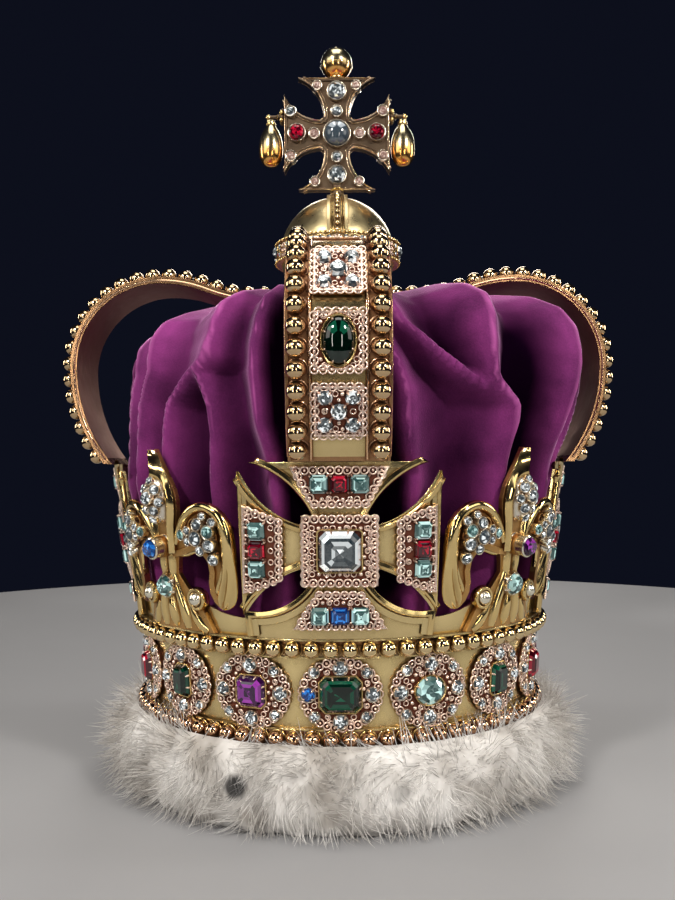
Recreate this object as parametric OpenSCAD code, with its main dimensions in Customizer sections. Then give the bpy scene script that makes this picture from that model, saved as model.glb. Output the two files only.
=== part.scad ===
// Arched crown: a jewelled circlet with four crosses and four fleurs-de-lis, two crossing arches,
// an orb with its cross and two pear drops, a folded velvet cap inside and a fur roll underneath.
// Millimetres, +Z up, the front towards -Y, the origin under the centre on the resting surface.

/* [Circlet] */
// Inside diameter of the circlet at its lower edge, the fit on the head
head_d = 173.6; // [170:0.2:180]
// Height of the band between its lower and upper edges
band_h = 43.1; // [39:0.1:50]
// Wall of the band
band_wall = 1.4; // [1:0.1:2.4]
// How much wider in radius the band is at its top than at its foot
band_spread = 2.9; // [0:0.1:5]
// Height of the band's lower edge over the surface that the crown stands on
band_foot = 29.6; // [26:0.1:36]
// Beads in each row round the band
ring_beads = 80; // [48:16:80]
// Diameter of a bead
bead_d = 6; // [4.5:0.1:6.6]
// Jewelled clusters round the band
clusters = 16; // [8:8:16]
// Diameter of the small stones round a cluster's main stone
side_stone_d = 4.4; // [3:0.1:4.8]

/* [Cresting] */
// How far the crosses and fleurs lean outwards, in degrees
lean = 8.5; // [4:0.5:11]
// Height of a cross's middle above the band's upper edge
cross_rise = 34.2; // [33:0.2:40]
// Half the width of a cross across its side arms, as a share of the band's upper radius
cross_share = 0.417; // [0.38:0.001:0.43]
// Reach of a cross's upper arm above its middle
cross_head = 33.4; // [30:0.2:36]
// Thickness of the metal of crosses and fleurs
cut_metal = 3; // [2.2:0.1:4]
// Height of a fleur's middle stone above the band's upper edge
fleur_middle = 34.4; // [31:0.2:37]
// Reach of a fleur's tip above its middle stone
fleur_head = 39; // [34:0.5:44]
// Clearance between a fleur's side petal and the arm of a cross
fleur_gap = 1.9; // [0.5:0.1:6]
// Radius of the scallops between crosses and fleurs
scallop_r = 45; // [40:0.5:55]
// Height of the cresting at its lowest, above the band's upper edge
scallop_low = 7; // [5:0.5:9]
// Side of the square stone in a cross's middle
cross_stone = 15.4; // [12:0.2:17]
// Side of the small square stones on a cross's arms
arm_stone = 6.4; // [5:0.2:6.8]

/* [Arches] */
// Width of an arch
arch_w = 37.5; // [35:0.5:40]
// Thickness of an arch's strip
arch_wall = 2; // [1.4:0.1:3]
// Height of the crest of the arches above the band's upper edge
arch_rise = 158.5; // [154:0.5:168]
// Largest reach of the arches from the middle of the crown
arch_reach = 128.2; // [127:0.2:133]
// Radius of the shoulder curve of an arch
shoulder_r = 42.2; // [40:0.2:45]
// Distance between beads along an arch
arch_bead_step = 7.6; // [7.4:0.1:9]

/* [Orb and cross] */
// Diameter of the orb
orb_d = 55; // [46:1:58]
// Height of the orb's cross
orb_cross_h = 54.6; // [48:0.2:62]
// Width of the orb's cross
orb_cross_w = 51; // [46:0.5:60]
// Thickness of the orb's cross
orb_cross_t = 5; // [4:0.5:7]
// Diameter of the ball on the cross
ball_d = 15.3; // [12:0.1:18]
// Length of a pear drop
drop_l = 23.5; // [18:0.5:28]
// Diameter of a pear drop
drop_d = 11.3; // [8:0.1:12]

/* [Cap and fur] */
// Thickness of the velvet
velvet = 1.6; // [1.2:0.1:2.4]
// Clearance of the cap under the arches where it is widest
cap_room = 8.6; // [7:0.1:14]
// Depth of the deepest folds
fold_depth = 11; // [4:0.5:13]
// How far the fur roll stands out beyond the lower beads, between its locks
fur_out = 9.2; // [6:0.1:16]
// Height of the fur roll outside the circlet
fur_h = 35; // [32:0.5:40]

/* [Hidden] */
$fn = 64;
// Facets of the large revolved forms
round_fn = 180;
// Clearance between pieces that are seated on each other
seat = 0.12;
// Clearance of the cloth and fur from the metal
cloth_gap = 0.6;
// Room round a stone in its setting, and how deep a stone sits
stone_gap = 0.1;
stone_seat = 1.2;
// How far pieces of one solid run into each other
bite = 0.4;
quarter = 90;

bead_r = bead_d / 2;
// Distance of a bead's centre above the surface that carries it, and of the flat under it
bead_seat = 1.6;
bead_flat = 1.1;

// Thin ledges beside the bead rows: height, and reach from the band for the outer and inner ones
ledge = 0.8;
ledge_out = 3;
ledge_in = 1.5;

band_top = band_foot + band_h;
foot_r = head_d / 2 + band_wall;
top_r = foot_r + band_spread;
// Outer radius of the band at height z
function band_r(z) = foot_r + band_spread * (z - band_foot) / band_h;
// Outer radius of the cresting, the back of crosses and fleurs, at height z
function cone_r(z) = top_r + 1 + tan(lean) * (z - band_top);

bead_out = 2.2;
lower_beads_z = band_foot + ledge + seat + bead_r;
upper_beads_z = band_top - ledge - seat - bead_r;
bead_rows = [lower_beads_z, upper_beads_z];

cluster_z = (lower_beads_z + upper_beads_z) / 2;
cluster_r = (upper_beads_z - lower_beads_z) / 2 - bead_r - ledge - 2 * seat;
cluster_side = 3.2;
plate_t = 1.3;
main_stone_h = 3.8;
side_stone_h = 1.9;
// Between a side stone and the plate's edge, and between it and the main stone
plate_edge = 0.5;
stone_space = 1.2;

cross_reach = cross_share * top_r;
cross_z = band_top + cross_rise;
cross_top = cross_z + cross_head;
fleur_z = band_top + fleur_middle;
fleur_reach = cone_r(fleur_z) * sin(quarter / 2 - asin(cross_reach / cone_r(fleur_z))) - fleur_gap;
cresting_top = band_top + 13;
leaves_top = max(cross_top, fleur_z + fleur_head) + 2;
rim_w = 2.4;
rim_h = 0.9;
plate_h = 0.8;
arm_stone_pitch = arm_stone + 1;

// Bead line of an arch: its largest radius, crest and four curves
line_reach = arch_reach - bead_r;
crest_z = band_top + arch_rise - bead_r;
shoulder_x = line_reach - shoulder_r;
shoulder_z = crest_z - shoulder_r;
crown_r = 62;
dip_r = 60;
dip_turn = 22;
dip_x = shoulder_x - (crown_r + dip_r) * sin(dip_turn);
dip_z = crest_z - (crown_r + dip_r) * (1 - cos(dip_turn));
strip_top = -bead_seat;
strip_low = strip_top - arch_wall;
channel_w = 9;
rail_w = 1;
rail_h = 1.1;
bead_row_y = arch_w / 2 - channel_w / 2;
hub_half = arch_w / 2 + 0.2;
// The foot of the bead line, in front of a cross's head, and the curve up to the shoulder
arch_foot_z = cross_top + seat;
foot_out = 7.56;
foot_rise = shoulder_z - arch_foot_z;
foot_run = line_reach - cone_r(cross_top) - foot_out;
flank_r = (foot_rise * foot_rise + foot_run * foot_run) / (2 * foot_run);
foot_turn = asin(foot_rise / flank_r);
// How much of the curve the cut at the foot takes off, along it and in degrees
foot_spare = 7.85;
foot_over = foot_spare / flank_r * 180 / PI;
// Bends stop this far short of each other, in degrees and along the strip, under a thin collar
bend_gap = 0.2;
collar_l = 1.6;
collar_grow = 0.05;
flank_len = flank_r * foot_turn * PI / 180;
shoulder_len = shoulder_r * PI / 2;
crown_len = crown_r * dip_turn * PI / 180;
dip_len = dip_r * dip_turn * PI / 180;
bends_len = flank_len + shoulder_len + crown_len + dip_len;
arch_len = bends_len + dip_x - hub_half;
first_bead = 5;
arch_beads = floor((arch_len - first_bead) / arch_bead_step);
hub_top = dip_z + strip_top;

orb_r = orb_d / 2;
// How far the orb sinks into the crossing, and the cup round it: its height and wall
orb_sunk = 4;
cup_h = 2;
cup_wall = 1.2;
orb_z = hub_top - orb_sunk + orb_r;
cup_r = sqrt(pow(orb_r, 2) - pow(orb_r - orb_sunk - cup_h, 2)) + cup_wall;
// Bands of the orb: how far they run into it, height of the fields and of their rims over them
band_sunk = 4;
equator_r = orb_r + 1.4;
equator_h = 10;
equator_rim = 0.8;
meridian_w = 9.6;
meridian_up = 0.5;
meridian_rim = 0.7;
knop_h = 4.3;
knop_r = 3;
orb_cross_z = orb_z + orb_r + knop_h + orb_cross_h / 2;
orb_reach = orb_cross_w / 2;
orb_head = orb_cross_h / 2;
ball_z = orb_cross_z + orb_head + ball_d / 2 + seat;
rod_z = orb_cross_z + 0.33 * orb_head;
drop_x = orb_reach + drop_d / 2 + 1;
// Rim round the field of the orb's cross, how deep the field lies, and the metal round its stones
orb_rim_w = 1.3;
orb_recess = 0.7;
orb_collar = 0.7;
// Rod that carries a pear drop, the three knobs at its foot, and the drop's neck
rod_r = 0.9;
knob_r = 1.5;
knob_step = 2.6;
drop_neck = 3;
neck_r = 1.9;
// Neck and point of the ball
ball_neck_r = 2.4;
ball_neck_h = 2;
point_r = 0.5;
point_h = 0.7;

CORNERS = ["front", "right", "back", "left"];
FLEURS = ["front_right", "back_right", "back_left", "front_left"];
// Main stones of the band from the front to the right. Columns: sides of the cut, width, height, colour
BAND_STONES = [
    [4, 15.5, 13.5, "darkgreen"], [16, 12.5, 11, "lightsteelblue"],
    [4, 8.5, 12.5, "darkgreen"], [4, 11, 12, "crimson"],
    [16, 12.5, 11, "mediumvioletred"], [4, 12, 12, "purple"],
    [4, 8.5, 12.5, "darkgreen"], [16, 12.5, 11, "lightsteelblue"],
    [4, 15.5, 13.5, "darkgreen"], [4, 12, 12, "purple"],
    [4, 8.5, 12.5, "darkgreen"], [16, 12.5, 11, "lightsteelblue"],
    [16, 12.5, 11, "mediumvioletred"], [4, 11, 12, "crimson"],
    [4, 8.5, 12.5, "darkgreen"], [4, 12, 12, "purple"]];

// Right-hand edge of a cross, as x and z, shares of its reach sideways and upwards. The two points
// near the ends of the side arm lie in the openings, which cut the arms' corners
CROSS_EDGE = [[1.003, 1], [0.9545, -0.775], [0.868, -0.74], [0.83, -1.2]];
// Openings between its arms: the upright arm's edge, then the side arm's edge.
// Columns: inner x and z, outer x and z, radius of the curve
CROSS_UPPER = [[0.26, 0.38, 0.876, 1, 0.97], [0.36, 0.284, 1, 0.904, 0.97]];
CROSS_LOWER = [[0.216, 0.386, 0.863, 0.796, 0.71], [0.36, 0.198, 0.955, 0.757, 0.97]];
ORB_OPENING = [[0.25, 0.25, 0.73, 1, 0.76], [0.25, 0.25, 1, 0.7, 0.78]];

// Jewelled plates on a cross's arms, as shares of the arm's reach and of the cross's reach.
// Columns: turn, inner and outer edge, half width there, distance of the row of stones
CROSS_PLATES = [
    [0, 0.59, 0.91, 0.29, 0.41, 0.8], [90, 0.54, 0.92, 0.25, 0.43, 0.755],
    [180, 0.59, 0.91, 0.29, 0.41, 0.8], [270, 0.51, 0.87, 0.2, 0.4, 0.743]];

// Right-hand outlines of a fleur's petals, as shares of its reach sideways and of its head
FLEUR_PETAL = [[0, 1], [0.08, 0.87], [0.19, 0.7], [0.27, 0.53], [0.26, 0.36], [0.205, 0.18], [0.2, -0.06]];
FLEUR_SIDE = [
    [0.1, 0.02], [0.3, 0.2], [0.42, 0.33], [0.56, 0.41], [0.71, 0.425], [0.87, 0.38], [0.97, 0.26],
    [1, 0.08], [0.985, -0.15], [0.955, -0.37], [0.9, -0.54], [0.81, -0.615], [0.71, -0.55],
    [0.655, -0.41], [0.69, -0.25], [0.66, -0.1], [0.5, -0.035], [0.34, -0.085], [0.12, -0.12]];
FLEUR_FOOT = [[0.22, 0.12], [0.22, -0.12], [0.15, -0.26], [0.33, -0.48], [0.47, -0.6], [0.62, -0.88]];
// Stones of a fleur, in the same shares. Columns: x, z, diameter, height of the setting
FLEUR_STONES = [
    [0, 0, 7, 3], [0, -0.42, 7, 1.6], [0, 0.38, 4.6, 1], [0, 0.55, 4.2, 1],
    [0.55, 0.22, 4.6, 1], [-0.55, 0.22, 4.6, 1], [0.76, 0.13, 4.6, 1], [-0.76, 0.13, 4.6, 1]];

// Ball of the volute at the foot, and the metal round each stone
volute_x = 0.44 * fleur_reach;
volute_z = -0.53 * fleur_head;
volute_r = 4;
collar = 0.9;

// Clusters along a half arch. Columns: place as a share of the bends, length, cut sides of the
// middle stone, its width and length, diameter of the four stones round it, none where that is 0
ARCH_CLUSTERS = [
    [0.125, 19, 8, 6, 6, 6], [0.28, 21, 16, 11.6, 16.9, 0],
    [0.45, 21, 8, 7, 7, 6], [0.78, 21, 16, 11.6, 16.9, 0]];
cluster_w = 18;

// Stones of the orb's cross, as shares of its reach sideways and upwards. Columns: x, z, diameter
ORB_CROSS_STONES = [
    [0, 0, 12], [0, 0.4, 4.6], [0, 0.76, 8.2], [0, -0.42, 4.2], [0, -0.74, 8.2],
    [0.43, 0, 4.2], [-0.43, 0, 4.2], [0.76, 0.02, 7.6], [-0.76, 0.02, 7.6],
    [0.88, 0.4, 4], [-0.88, 0.4, 4], [0.88, -0.4, 4], [-0.88, -0.4, 4],
    [0.37, 0.86, 3.6], [-0.37, 0.86, 3.6], [0.42, -0.86, 3.6], [-0.42, -0.86, 3.6]];
ORB_STONES = 12;
orb_stone_d = 5.4;

// Half outline of a pear drop from its lower end, as shares of its radius and its length
PEAR = [[0, 0], [0.45, 0.03], [0.82, 0.14], [1, 0.34], [0.97, 0.54], [0.84, 0.72], [0.6, 0.86], [0.38, 0.94]];

// Sections of the cap from its foot to its middle. Columns: height as a share of the cap's height,
// radius, how much of the folds, how much it swells between the arches, how much it is slumped on the
// left. The radius is a share of the cap's widest one, and from the crosses up to the arches' shoulders
// a share of the room under the arches
CAP_SECTIONS = [
    [0, 1, 0, 0, 0], [0.07, 1, 0.2, 0, 0], [0.163, 1, 0.4, 0, 0], [0.27, 1, 0.6, 0, 0],
    [0.39, 1, 0.8, 0, 0], [0.511, 0.335, 0.95, 0.3, 0.3], [0.618, 0.845, 1, 0.8, 0.6],
    [0.725, 1, 1, 1, 0.8], [0.832, 1, 1, 1, 1], [0.92, 0.954, 1, 1, 1], [0.985, 0.86, 0.8, 1.6, 0.8],
    [1.005, 0.71, 0.55, 2, 0.4], [0.995, 0.52, 0.35, 1.6, 0], [0.972, 0.3, 0.15, 0.4, 0],
    [0.965, 0.11, 0, 0, 0]];
// Folds round the cap. Columns: turn from the front to the right, depth share, half width in degrees
CAP_FOLDS = [
    [-34, 1, 6], [-20, 0.55, 5], [-52, 0.5, 5], [-68, 0.9, 6], [-84, 0.4, 5], [-8, 0.4, 5],
    [14, 0.7, 6], [28, 0.45, 5], [42, 1, 6], [58, 0.6, 5], [73, 0.9, 6], [88, 0.5, 5],
    [104, 0.8, 6], [120, 0.5, 5], [137, 1, 6], [153, 0.6, 5], [170, 0.7, 6], [188, 0.5, 5],
    [205, 0.9, 6], [222, 0.6, 5], [238, 1, 6], [256, 0.6, 6]];
cap_low = band_top - 7;
cap_high = dip_z + strip_low - cloth_gap;
cap_swell = 3;
// How far the cloth has slumped, the turn of the middle of the slump, and half its width in degrees
cap_slump = 15;
slump_turn = -72;
slump_wide = 38;
// Swing of a fold to and fro on its way up, in degrees, and its change from section to section
fold_swing = 3;
fold_phase = 25;
cap_turns = 72;
cap_widest = 7;

// Section of the fur roll. Columns: measured from the head opening (0) or from the beads (1), share
// of the way out from there, share of the roll's height, how much of the locks
FUR_SECTION = [
    [0, 0, 0, 0], [0, 0.4, 0, 0], [0, 0.78, 0, 0], [0, 0.95, 0.14, 0.6], [0, 1, 0.36, 1],
    [0, 0.97, 0.6, 1], [1, 0.8, 0.82, 1], [1, 0.45, 0.97, 0.7], [1, 0.12, 1, 0.3]];
fur_in = head_d / 2 + 0.4;
fur_clear = band_r(lower_beads_z) + bead_out + bead_r + cloth_gap;
fur_r = fur_clear + fur_out;
fur_locks = 30;
lock_depth = 1.5;
fur_turns = 108;

// Height of a stone of a width over its setting
function stone_h(across) = 1 + 0.22 * across;
function two(n) = n < 10 ? str("0", n) : str(n);

NODES = concat(
    ["circlet", "circlet_beads_upper", "circlet_beads_lower", "circlet_settings", "circlet_side_stones"],
    [for (i = [1:clusters]) str("circlet_stone_", two(i))],
    [for (c = CORNERS) str("cross_", c)],
    [for (c = CORNERS) str("cross_stones_", c)],
    [for (f = FLEURS) str("fleur_", f)],
    ["fleur_stones"],
    [for (c = CORNERS) str("arch_", c)],
    [for (c = CORNERS) str("arch_stones_", c)],
    ["arch_crossing", "orb", "orb_stones", "orb_cross", "orb_cross_stones", "orb_ball",
     "pear_drop_left", "pear_drop_right", "velvet_cap", "fur_trim"]);
node = "all";

function wanted(name) = node == "all" || node == name;

// Smooth curve through the rows of a table at a running place u, from 0 to its last row
function row_at(rows, i) = rows[max(0, min(len(rows) - 1, i))];
function spline(rows, u) =
    let (i = min(len(rows) - 2, floor(u)), t = u - i,
         a = row_at(rows, i - 1), b = row_at(rows, i), c = row_at(rows, i + 1), d = row_at(rows, i + 2))
    0.5 * (2 * b + (c - a) * t + (2 * a - 5 * b + 4 * c - d) * t * t
           + (3 * b - a - 3 * c + d) * t * t * t);
function smooth_line(rows, steps) =
    [for (k = [0:steps]) spline(rows, k * (len(rows) - 1) / steps)];
function scaled(rows, sx, sz) = [for (p = rows) [p[0] * sx, p[1] * sz]];

// Centre of the circle of radius r through p and q, on the left of the way from p to q
function arc_centre(p, q, r) =
    let (half = (q - p) / 2, d = norm(half), n = [-half[1], half[0]] / d)
    p + half + n * sqrt(max(0, r * r - d * d));

// Stands its children on the leaning surface: local X to the right, Y up, Z outwards
module on_cone(x, z, out) {
    rotate([0, 0, asin(x / cone_r(z))])
        translate([0, -cone_r(z) - out, z])
            rotate([90 + lean, 0, 0])
                children();
}

// Stands its children on the band in the same way
module on_band(turn, z, out) {
    rotate([0, 0, turn])
        translate([0, -band_r(z) - out, z])
            rotate([90 + atan(band_spread / band_h), 0, 0])
                children();
}

// A ring of the leaning cone, from one height to another, between two distances from its surface
module cone_shell(z0, z1, from, to) {
    rotate_extrude($fn = round_fn)
        polygon([[cone_r(z0) + from, z0], [cone_r(z0) + to, z0],
                 [cone_r(z1) + to, z1], [cone_r(z1) + from, z1]]);
}

// Outline in X and Z turned into leaning sheet metal between two distances from the surface
module leaf(from, to) {
    intersection() {
        cone_shell(band_top + seat, leaves_top, from, to);
        rotate([90, 0, 0])
            linear_extrude(height = 2 * top_r)
                children();
    }
}

// A cut stone, a across and b high, with a flat table and a foot in its setting
module cut_stone(a, b, rise, sides) {
    ways = sides / 2;
    girdle = rise * 0.28;
    for_square = sides == 4;
    intersection_for (i = [0:ways - 1]) {
        turn = i * 180 / ways;
        reach = norm([a * cos(turn), b * sin(turn)]) / 2;
        crown = for_square ? [[reach * 0.84, rise * 0.72], [reach * 0.58, rise]] : [[reach * 0.62, rise]];
        left = [for (k = [len(crown) - 1:-1:0]) [-crown[k][0], crown[k][1]]];
        rotate([0, 0, turn])
            rotate([90, 0, 0])
                linear_extrude(height = 2 * max(a, b), center = true)
                    polygon(concat([[-reach, -stone_seat], [reach, -stone_seat], [reach, girdle]],
                                   crown, left, [[-reach, girdle]]));
    }
}

// The hole in a setting that a cut stone of the same size sits in, up to a height over the setting
module stone_pocket(a, b, sides, up) {
    ways = sides / 2;
    depth = stone_seat + stone_gap;
    intersection_for (i = [0:ways - 1]) {
        turn = i * 180 / ways;
        reach = norm([a * cos(turn), b * sin(turn)]) / 2 + stone_gap;
        rotate([0, 0, turn])
            translate([-reach, -max(a, b), -depth])
                cube([2 * reach, 2 * max(a, b), depth + up]);
    }
}

// A prism with a flat side at the distance r for each bead of a row
module bead_prism(r, h) {
    step = 360 / ring_beads;
    corner = r / cos(step / 2);
    linear_extrude(height = h)
        polygon([for (i = [0:ring_beads - 1]) corner * [sin(i * step), -cos(i * step)]]);
}

// A row of beads soldered on a rail with a flat under each bead
module bead_ring(z) {
    r = band_r(z) + bead_out;
    step = 360 / ring_beads;
    inside = band_r(z + bead_r) + seat;
    difference() {
        union() {
            translate([0, 0, z - bead_r])
                bead_prism(r - bead_flat, bead_d);
            for (i = [0:ring_beads - 1])
                rotate([0, 0, (i + 0.5) * step])
                    translate([0, -r, z])
                        sphere(bead_r);
        }
        translate([0, 0, z - bead_d])
            bead_prism(inside, 2 * bead_d);
    }
}

module circlet() {
    color("goldenrod")
        union() {
            rotate_extrude($fn = round_fn) {
                polygon([[foot_r - band_wall, band_foot], [foot_r, band_foot], [top_r, band_top],
                         [top_r - band_wall, band_top]]);
                for (z = [band_foot, band_top - ledge])
                    translate([band_r(z) - bite, z])
                        square([ledge_out + bite, ledge]);
                for (side = [0, 1])
                    translate([band_r(bead_rows[side]) - bite,
                               bead_rows[side] + (side == 0 ? bead_r + seat : -bead_r - seat - ledge)])
                        square([ledge_in + bite, ledge]);
            }
            difference() {
                cone_shell(band_top - ledge, cresting_top, -band_wall, 0);
                for (turn = [0:quarter:359])
                    for (side = [-1, 1])
                        rotate([0, 0, turn + side * quarter / 4])
                            translate([0, 0, band_top + scallop_low + scallop_r])
                                rotate([90, 0, 0])
                                    cylinder(r = scallop_r, h = 2 * top_r, $fn = round_fn);
            }
        }
}

module circlet_beads_upper() {
    color("gold") bead_ring(upper_beads_z);
}

module circlet_beads_lower() {
    color("gold") bead_ring(lower_beads_z);
}

function stone_row(i) = BAND_STONES[(i * len(BAND_STONES) / clusters) % len(BAND_STONES)];
// A main stone is kept inside the ring of side stones
function fitted(size) = min(size, 2 * (cluster_r - side_stone_d - stone_space));

module side_stone_places() {
    for (i = [0:3])
        rotate([0, 0, i * quarter])
            translate([cluster_r - side_stone_d / 2 - plate_edge + (i % 2 == 0 ? cluster_side / 2 : 0), 0, 0])
                children();
}

// A cylinder about the band's axis, seen from a cluster's place on the band
module band_cylinder(r) {
    translate([0, 0, -band_r(cluster_z)])
        rotate([90, 0, 0])
            cylinder(r = r, h = 3 * cluster_r, center = true, $fn = round_fn);
}

module circlet_settings() {
    back = band_r(cluster_z);
    color("rosybrown")
        for (i = [0:clusters - 1]) {
            row = stone_row(i);
            on_band(i * 360 / clusters, cluster_z, 0)
                difference() {
                    intersection() {
                        for (side = [-1, 1])
                            translate([side * cluster_side / 2, 0, -plate_t])
                                cylinder(r = cluster_r, h = 3 * plate_t);
                        band_cylinder(back + plate_t);
                    }
                    band_cylinder(back + seat);
                    translate([0, 0, plate_t])
                        stone_pocket(fitted(row[1]), fitted(row[2]), row[0], 1);
                    side_stone_places()
                        translate([0, 0, plate_t])
                            stone_pocket(side_stone_d, side_stone_d, 8, 1);
                }
        }
}

module circlet_stone(i) {
    row = stone_row(i);
    color(row[3])
        on_band(i * 360 / clusters, cluster_z, plate_t)
            cut_stone(fitted(row[1]), fitted(row[2]), main_stone_h, row[0]);
}

module circlet_side_stones() {
    color("lightcyan")
        for (i = [0:clusters - 1])
            on_band(i * 360 / clusters, cluster_z, plate_t)
                side_stone_places()
                    cut_stone(side_stone_d, side_stone_d, side_stone_h, 8);
}

// The opening between two arms of a cross, its edges moved out into the arms by grow
module cross_opening(edges, reach, head, grow) {
    intersection_for (k = [0, 1]) {
        row = edges[k];
        inner = [row[0] * reach, row[1] * head];
        outer = [row[2] * reach, row[3] * head];
        r = row[4] * reach;
        translate(k == 0 ? arc_centre(outer, inner, r) : arc_centre(inner, outer, r))
            circle(r + grow, $fn = round_fn);
    }
}

// Leaning sheet in the outline of a cross, its openings cut through, both moved in by inset, but out
// by it at the foot, where the metal goes on
module cross_sheet(from, to, inset) {
    difference() {
        leaf(from, to)
            translate([0, cross_z])
                polygon([for (side = [1, -1], k = [0:len(CROSS_EDGE) - 1])
                         let (p = CROSS_EDGE[side > 0 ? k : len(CROSS_EDGE) - 1 - k],
                              foot = p[0] < CROSS_EDGE[1][0])
                         [side * (p[0] * cross_reach + (foot ? inset : -inset)),
                          p[1] * cross_head - (p[1] == 1 ? inset : 0)]]);
        for (side = [0, 1])
            mirror([side, 0, 0])
                translate([0, 0, cross_z])
                    rotate([90, 0, 0])
                        linear_extrude(height = 2 * top_r) {
                            cross_opening(CROSS_UPPER, cross_reach, cross_head, inset);
                            mirror([0, 1])
                                cross_opening(CROSS_LOWER, cross_reach, cross_head, inset);
                        }
    }
}

function arm_unit(turn) = turn % 180 == 0 ? cross_reach : cross_head;
centre_plate = cross_stone + 10;

module cross_plates() {
    square([centre_plate, centre_plate - 1], center = true);
    for (row = CROSS_PLATES) {
        unit = arm_unit(row[0]);
        rotate(row[0])
            polygon([[row[1] * unit, -row[3] * cross_reach], [row[2] * unit, -row[4] * cross_reach],
                     [row[2] * unit, row[4] * cross_reach], [row[1] * unit, row[3] * cross_reach]]);
    }
}

// Each stone of a cross: x, z, side
function cross_stone_places() = concat(
    [[0, 0, cross_stone]],
    [for (row = CROSS_PLATES, k = [-1:1])
        let (far = row[5] * arm_unit(row[0]), across = k * arm_stone_pitch)
        [cos(row[0]) * far - sin(row[0]) * across, sin(row[0]) * far + cos(row[0]) * across, arm_stone]]);

module crest_cross() {
    color("goldenrod")
        difference() {
            union() {
                difference() {
                    cross_sheet(seat, cut_metal, 0);
                    cross_sheet(cut_metal - rim_h, cut_metal + 1, rim_w);
                }
                leaf(seat, cut_metal)
                    translate([0, cross_z])
                        square([centre_plate, centre_plate - 1], center = true);
                leaf(cut_metal - rim_h - bite, cut_metal + plate_h)
                    translate([0, cross_z])
                        cross_plates();
            }
            for (p = cross_stone_places())
                on_cone(p[0], cross_z + p[1], cut_metal + plate_h)
                    stone_pocket(p[2], p[2], 4, 2);
        }
}

module crest_cross_stones() {
    color("paleturquoise")
        for (p = cross_stone_places())
            on_cone(p[0], cross_z + p[1], cut_metal + plate_h)
                cut_stone(p[2], p[2], stone_h(p[2]), 4);
}

module mirrored_outline(rows, steps) {
    half = scaled(smooth_line(rows, steps), fleur_reach, fleur_head);
    polygon(concat(half, [for (k = [len(half) - 1:-1:0]) [-half[k][0], half[k][1]]]));
}

module fleur_side_plan() {
    polygon(scaled(smooth_line(FLEUR_SIDE, 27), fleur_reach, fleur_head));
}

module fleur_plan() {
    mirrored_outline(FLEUR_PETAL, 9);
    mirrored_outline(FLEUR_FOOT, 7);
    for (side = [0, 1])
        mirror([side, 0]) {
            fleur_side_plan();
            translate([volute_x, volute_z])
                circle(volute_r);
        }
    for (row = FLEUR_STONES)
        translate([row[0] * fleur_reach, row[1] * fleur_head])
            circle(row[2] / 2 + collar / 2);
}

module fleur() {
    color("goldenrod")
        difference() {
            union() {
                leaf(seat, cut_metal - rim_h)
                    translate([0, fleur_z])
                        fleur_plan();
                leaf(cut_metal - rim_h - bite, cut_metal)
                    translate([0, fleur_z]) {
                        for (side = [0, 1])
                            mirror([side, 0]) {
                                difference() {
                                    fleur_side_plan();
                                    offset(delta = -rim_w)
                                        fleur_side_plan();
                                }
                                translate([volute_x, volute_z])
                                    circle(volute_r - 1);
                            }
                        offset(delta = -rim_w)
                            mirrored_outline(FLEUR_PETAL, 9);
                    }
                for (row = FLEUR_STONES)
                    on_cone(row[0] * fleur_reach, fleur_z + row[1] * fleur_head, cut_metal - rim_h - bite)
                        cylinder(d = row[2] + 2 * collar, h = rim_h + bite + row[3]);
            }
            for (row = FLEUR_STONES)
                on_cone(row[0] * fleur_reach, fleur_z + row[1] * fleur_head, cut_metal + row[3])
                    stone_pocket(row[2], row[2], 8, 2);
        }
}

module fleur_stones() {
    color("lightcyan")
        for (i = [0:3])
            rotate([0, 0, (i + 0.5) * quarter])
                for (row = FLEUR_STONES)
                    on_cone(row[0] * fleur_reach, fleur_z + row[1] * fleur_head, cut_metal + row[3])
                        cut_stone(row[2], row[2], stone_h(row[2]), 8);
}

// Point on an arch's bead line at a distance along it from its foot, moved out by up
function line_point(along, up) =
    along < flank_len ?
        let (a = (along - flank_len) / flank_r * 180 / PI)
        [line_reach - flank_r, shoulder_z] + (flank_r + up) * [cos(a), sin(a)] :
    along < flank_len + shoulder_len ?
        let (a = (along - flank_len) / shoulder_r * 180 / PI)
        [shoulder_x, shoulder_z] + (shoulder_r + up) * [cos(a), sin(a)] :
    along < bends_len - dip_len ?
        let (a = 90 + (along - flank_len - shoulder_len) / crown_r * 180 / PI)
        [shoulder_x, crest_z - crown_r] + (crown_r + up) * [cos(a), sin(a)] :
    along < bends_len ?
        let (a = dip_turn - 90 - (along - bends_len + dip_len) / dip_r * 180 / PI)
        [dip_x, dip_z + dip_r] + (dip_r - up) * [cos(a), sin(a)] :
    [dip_x - along + bends_len, dip_z + up];
// Direction that points out of the arch there, as an angle above the outward horizontal
function line_turn(along) =
    let (p = line_point(along, 0), q = line_point(along, 1))
    atan2(q[1] - p[1], q[0] - p[0]);

// Stands its children on the front half arch: local X across it, Y towards the crest, Z outwards
module on_arch(along, across, up) {
    p = line_point(along, up);
    translate([across, -p[0], p[1]])
        rotate([90 - line_turn(along), 0, 0])
            children();
}

// Section of an arch across its width: the strip and a rail on each side of both bead rows
module arch_section() {
    translate([strip_low, -arch_w / 2])
        square([arch_wall, arch_w]);
    for (side = [0, 1])
        mirror([0, side])
            for (y = [arch_w / 2 - rail_w, arch_w / 2 - channel_w])
                translate([strip_top - bite, y])
                    square([rail_h + bite, rail_w]);
}

// One curve of an arch, its middle at x and z, swept from one angle through another
module arch_bend(x, z, r, from, sweep, inwards) {
    rotate([0, 0, -90])
        translate([x, 0, z])
            rotate([90, 0, 0])
                rotate([0, 0, from + bend_gap])
                    rotate_extrude(angle = sweep - 2 * bend_gap, $fn = round_fn)
                        translate([r, 0])
                            mirror([inwards, 0])
                                arch_section();
}

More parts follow.
